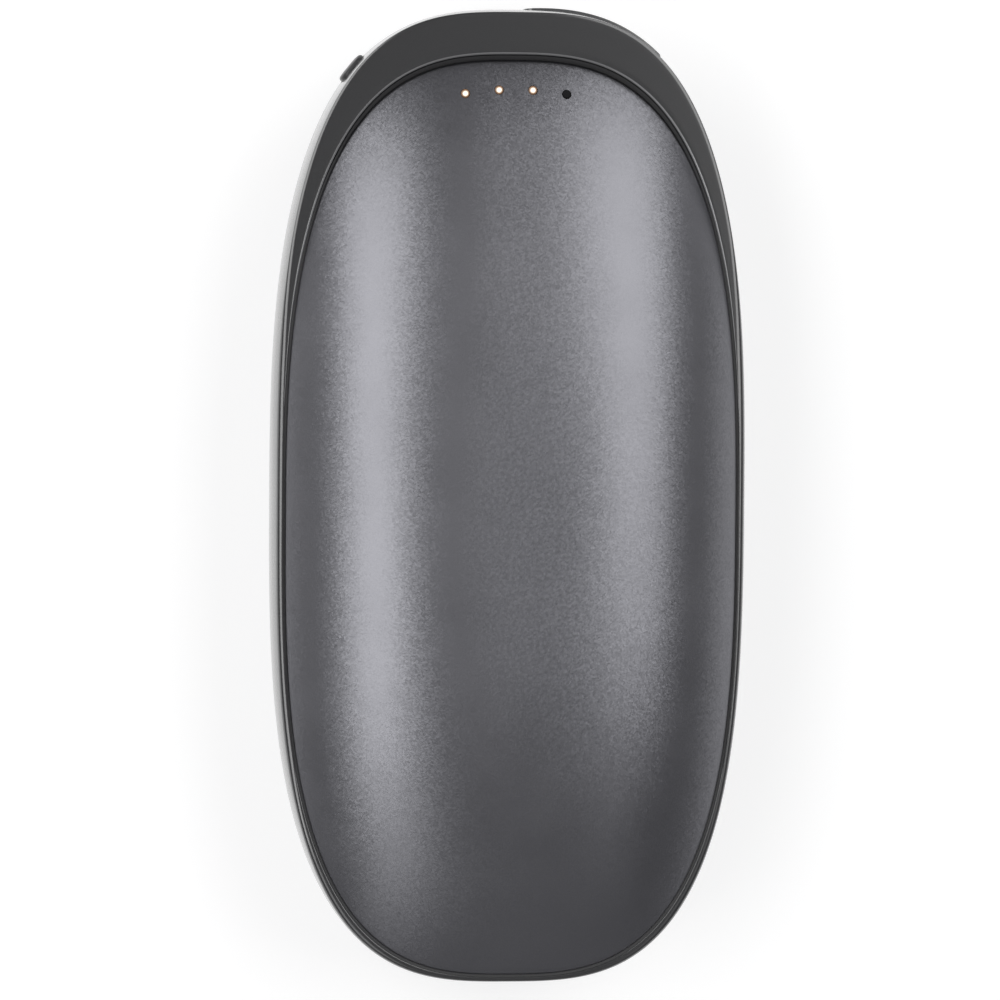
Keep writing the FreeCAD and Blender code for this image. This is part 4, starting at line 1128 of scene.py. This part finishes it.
def make_button():
    """Key with a flange behind the band, a rounded edge and a slightly crowned face."""
    root = BUTTON_WALL + BUTTON_END_GAP + FLANGE_THICKNESS
    edge_top = root + BUTTON_PROUD - BUTTON_CROWN
    lip = 2 * BUTTON_LIP
    rings = []
    for level in (0, FLANGE_THICKNESS):
        rings.append(rounded_ring(BUTTON_WIDTH + lip, BUTTON_DEPTH + lip, BUTTON_CORNER, level))
    rings.append(rounded_ring(BUTTON_WIDTH, BUTTON_DEPTH, BUTTON_CORNER, FLANGE_THICKNESS))
    for lean in QUARTER_LEANS:
        inset = BUTTON_EDGE * (1 - math.cos(lean))
        level = edge_top - BUTTON_EDGE * (1 - math.sin(lean))
        rings.append(inset_ring(BUTTON_WIDTH, BUTTON_DEPTH, BUTTON_CORNER, inset, level))
    for step in range(1, FACE_STEPS + 1):
        share = step / FACE_STEPS
        inset = BUTTON_EDGE + (BUTTON_CORNER - BUTTON_EDGE) * share * BUTTON_FACE_SHARE
        level = edge_top + BUTTON_CROWN * (1 - (1 - share) ** 2)
        rings.append(inset_ring(BUTTON_WIDTH, BUTTON_DEPTH, BUTTON_CORNER, inset, level))
    button = ring_piece("power_key", rings, place=band_frame(BUTTON_ANGLE, root))
    dress(button, "button_plastic", "button", "power_button")


def make_plug():
    """Rounded block behind the port cover that fills the socket's window."""
    depth = -COVER_SINK - PLUG_THICKNESS
    rings = []
    for lean in QUARTER_LEANS:
        inset = PLUG_EDGE * (1 - math.sin(lean))
        level = depth + PLUG_EDGE * (1 - math.cos(lean))
        rings.append(inset_ring(PLUG_WIDTH, PLUG_HEIGHT, PLUG_CORNER, inset, level))
    rings.append(rounded_ring(PLUG_WIDTH, PLUG_HEIGHT, PLUG_CORNER, -COVER_SINK / 2))
    return ring_piece("plug", rings, place=band_frame(PORT_ANGLE))


def make_cover():
    """Curved strip with a round bead at its pin and a shallow plug over the socket."""
    rings = cover_rings(0, COVER_PROUD, COVER_SINK, COVER_TAPER_SHARE)
    pin = pin_spot()
    outward = direction_at(HINGE_ANGLE)
    past = Vector((outward.y, -outward.x, 0))
    radius = (COVER_PROUD + COVER_SINK) / 2
    for step in range(1, BEAD_STEPS + 1):
        lean = math.radians(BEAD_LEAN) * step / BEAD_STEPS
        middle = pin + past * radius * math.sin(lean)
        inner = middle - outward * radius * math.cos(lean)
        outer = middle + outward * radius * math.cos(lean)
        rings.append(cover_section(inner, outer, COVER_HEIGHT / 2))
    cover = ring_piece("port_lid", rings)
    round_edges(cover, COVER_EDGE)
    combine(cover, [make_plug()], "UNION")
    reach = COVER_HEIGHT / 2 + OVERRUN
    combine(cover, [peg("bore", pin.x, pin.y, PIN_BORE, MID - reach, MID + reach)], "DIFFERENCE")
    dress(cover, "cover_rubber", "cover", "port_cover")


# Corners of a box's six faces, in the order in which the loops below make its corners
BOX_FACES = ((0, 1, 3, 2), (4, 5, 7, 6), (0, 1, 5, 4), (2, 3, 7, 6), (0, 2, 6, 4), (1, 3, 7, 5))


def make_contacts():
    """Gilded strips on both faces of the socket's tongue."""
    port = band_frame(PORT_ANGLE)
    vertices = []
    faces = []
    for side in (-1, 1):
        for number in range(CONTACT_COUNT):
            x = (number - (CONTACT_COUNT - 1) / 2) * CONTACT_PITCH
            base = side * TONGUE_THICKNESS / 2
            face = base + side * CONTACT_THICKNESS
            first = len(vertices)
            for depth in (CONTACT_TIP_DEPTH, CONTACT_TIP_DEPTH + CONTACT_LENGTH):
                for height in (base, face):
                    for edge in (-CONTACT_WIDTH / 2, CONTACT_WIDTH / 2):
                        vertices.append(port @ Vector((x + edge, height, -depth)))
            faces += [tuple(first + corner for corner in corners) for corners in BOX_FACES]
    contacts = mesh_piece("socket_contacts", vertices, faces)
    contacts.data.materials.append(contact_gold())
    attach(contacts, "case")


# Insulation pads

def pad_rings(node):
    """Rings of a pad: flat on the cell, drawn in at its sides and crowned under the film."""
    low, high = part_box(node)
    centre = at_level((low + high) / 2, 0)
    outline = rounded_ring(high.x - low.x, high.y - low.y, PAD_CORNER, 0)
    rings = []
    for step in range(PAD_WALL_STEPS + 1):
        share = step / PAD_WALL_STEPS
        scale = 1 - PAD_WAIST_SHARE * math.sin(math.pi * share)
        ring = []
        for spoke in outline:
            top = max(dome_level(centre + spoke, PAD_INSET), low.z + PAD_INSET)
            ring.append(at_level(centre + spoke * scale, low.z + (top - low.z) * share))
        rings.append(ring)
    for step in range(1, PAD_CROWN_STEPS):
        scale = 1 - step / PAD_CROWN_STEPS
        ring = []
        for spoke in outline:
            point = centre + spoke * scale
            ring.append(at_level(point, max(dome_level(point, PAD_INSET), low.z + PAD_INSET)))
        rings.append(ring)
    return rings


def make_pad(name, rings, node):
    foam = ring_piece(name, rings)
    dress(foam, "pad_foam", replaced=node)


def make_pads():
    rings = pad_rings("front_pad")
    make_pad("front_foam", rings, "front_pad")
    make_pad("rear_foam", turned_over(rings), "rear_pad")


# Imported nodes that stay

def dress_nodes():
    """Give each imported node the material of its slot."""
    for row in frame["record"]["subparts"]:
        node = nodes[row["node"]]
        node.data.materials.clear()
        node.data.materials.append(materials[row["material_slot"]])
        soften(node)


# Camera, light and table

CAMERA_DISTANCE = 0.6
CAMERA_LENS = 203.4
CAMERA_LEFT = 5.6
CAMERA_UP = 2.75
CAMERA_ROLL = 0.41
AIM = Vector((-0.001, 0.00191, 0.016))
FLOOR_HALF = 3.0
FLOOR_COLOUR = (0.5, 0.5, 0.5, 1)
FLOOR_GLOW = 0.64
ROOM_COLOUR = (0.095, 0.095, 0.1, 1)

# Softboxes: how far each leans to the right and to the head and is rolled, its width and length, its light
LAMP_DISTANCE = 0.5
LEFT_LEAN = (-41, 13, 18)
LEFT_SIZE = (0.34, 0.62)
LEFT_BRIGHTNESS = 2.55
LOW_LEFT_LEAN = (-31, -36, 11)
LOW_LEFT_SIZE = (0.23, 0.3)
LOW_LEFT_BRIGHTNESS = 1.0
RIGHT_LEAN = (36.5, 26, -13)
RIGHT_SIZE = (0.38, 0.6)
RIGHT_BRIGHTNESS = 2.2
INNER_RIGHT_LEAN = (28, -14, 0)
INNER_RIGHT_SIZE = (0.13, 0.45)
INNER_RIGHT_BRIGHTNESS = 0.4
FOOT_LAMP_DISTANCE = 0.6
FOOT_LEAN = (0, -57, 0)
FOOT_SIZE = (0.9, 0.4)
FOOT_BRIGHTNESS = 0.14


def lean_direction(right, up):
    """Direction that leans from straight above towards the right and towards the head."""
    return Vector((math.tan(math.radians(right)), math.tan(math.radians(up)), 1)).normalized()


def facing(direction, roll=0.0):
    """Rotation whose local Z points along a direction and whose local Y leans towards the head."""
    head = Vector((-math.sin(math.radians(roll)), math.cos(math.radians(roll)), 0))
    side = head.cross(direction).normalized()
    return Matrix((side, direction.cross(side), direction)).transposed().to_euler()


def make_camera():
    camera = new_object("camera", bpy.data.cameras.new("camera"))
    direction = lean_direction(-CAMERA_LEFT, CAMERA_UP)
    camera.location = AIM + direction * CAMERA_DISTANCE
    camera.rotation_euler = facing(direction, CAMERA_ROLL)
    camera.data.lens = CAMERA_LENS
    bpy.context.scene.camera = camera


def make_softbox(name, lean, size, brightness, distance=LAMP_DISTANCE):
    """Soft light of a plain brightness that faces the object."""
    right, up, roll = lean
    width, length = size
    light = bpy.data.lights.new(name, "AREA")
    light.shape = "RECTANGLE"
    light.size = width
    light.size_y = length
    light.energy = brightness * math.pi * width * length
    lamp = new_object(name, light)
    direction = lean_direction(right, up)
    lamp.location = AIM + direction * distance
    lamp.rotation_euler = facing(direction, roll)


def make_lights():
    make_softbox("left_light", LEFT_LEAN, LEFT_SIZE, LEFT_BRIGHTNESS)
    make_softbox("low_left_light", LOW_LEFT_LEAN, LOW_LEFT_SIZE, LOW_LEFT_BRIGHTNESS)
    make_softbox("right_light", RIGHT_LEAN, RIGHT_SIZE, RIGHT_BRIGHTNESS)
    make_softbox("inner_right_light", INNER_RIGHT_LEAN, INNER_RIGHT_SIZE, INNER_RIGHT_BRIGHTNESS)
    make_softbox("foot_light", FOOT_LEAN, FOOT_SIZE, FOOT_BRIGHTNESS, FOOT_LAMP_DISTANCE)
    world = bpy.data.worlds.new("room")
    world.use_nodes = True
    world.node_tree.nodes["Background"].inputs["Color"].default_value = ROOM_COLOUR
    bpy.context.scene.world = world


def floor_paint():
    """White table that shows its own white to the camera and in reflections, and nothing from below."""
    material = bpy.data.materials.new("table_white")
    material.use_nodes = True
    tree = material.node_tree
    tree.nodes.clear()
    path = tree.nodes.new("ShaderNodeLightPath")
    seen = path.outputs["Is Camera Ray"]
    for kind in ("Is Glossy Ray", "Is Transmission Ray"):
        either = tree.nodes.new("ShaderNodeMath")
        either.operation = "MAXIMUM"
        tree.links.new(seen, either.inputs[0])
        tree.links.new(path.outputs[kind], either.inputs[1])
        seen = either.outputs["Value"]
    glow = tree.nodes.new("ShaderNodeEmission")
    tree.links.new(spread(tree, seen, 0, FLOOR_GLOW, start=0, end=1), glow.inputs["Strength"])
    paint = tree.nodes.new("ShaderNodeBsdfDiffuse")
    paint.inputs["Color"].default_value = FLOOR_COLOUR
    both = tree.nodes.new("ShaderNodeAddShader")
    tree.links.new(paint.outputs["BSDF"], both.inputs[0])
    tree.links.new(glow.outputs["Emission"], both.inputs[1])
    surface = tree.nodes.new("ShaderNodeNewGeometry")
    clear = tree.nodes.new("ShaderNodeBsdfTransparent")
    mix = tree.nodes.new("ShaderNodeMixShader")
    tree.links.new(surface.outputs["Backfacing"], mix.inputs["Fac"])
    tree.links.new(both.outputs["Shader"], mix.inputs[1])
    tree.links.new(clear.outputs["BSDF"], mix.inputs[2])
    output = tree.nodes.new("ShaderNodeOutputMaterial")
    tree.links.new(mix.outputs["Shader"], output.inputs["Surface"])
    return material


def make_floor():
    corners = [(-FLOOR_HALF, -FLOOR_HALF, 0), (FLOOR_HALF, -FLOOR_HALF, 0),
               (FLOOR_HALF, FLOOR_HALF, 0), (-FLOOR_HALF, FLOOR_HALF, 0)]
    mesh = bpy.data.meshes.new("table")
    mesh.from_pydata(corners, [], [(0, 1, 2, 3)])
    table = new_object("table", mesh)
    mesh.materials.append(floor_paint())


dress_nodes()
make_shells()
make_light_tips()
make_band()
make_seals()
make_button()
make_cover()
make_contacts()
make_pads()
make_camera()
make_lights()
make_floor()
bpy.context.scene.view_settings.view_transform = "Standard"
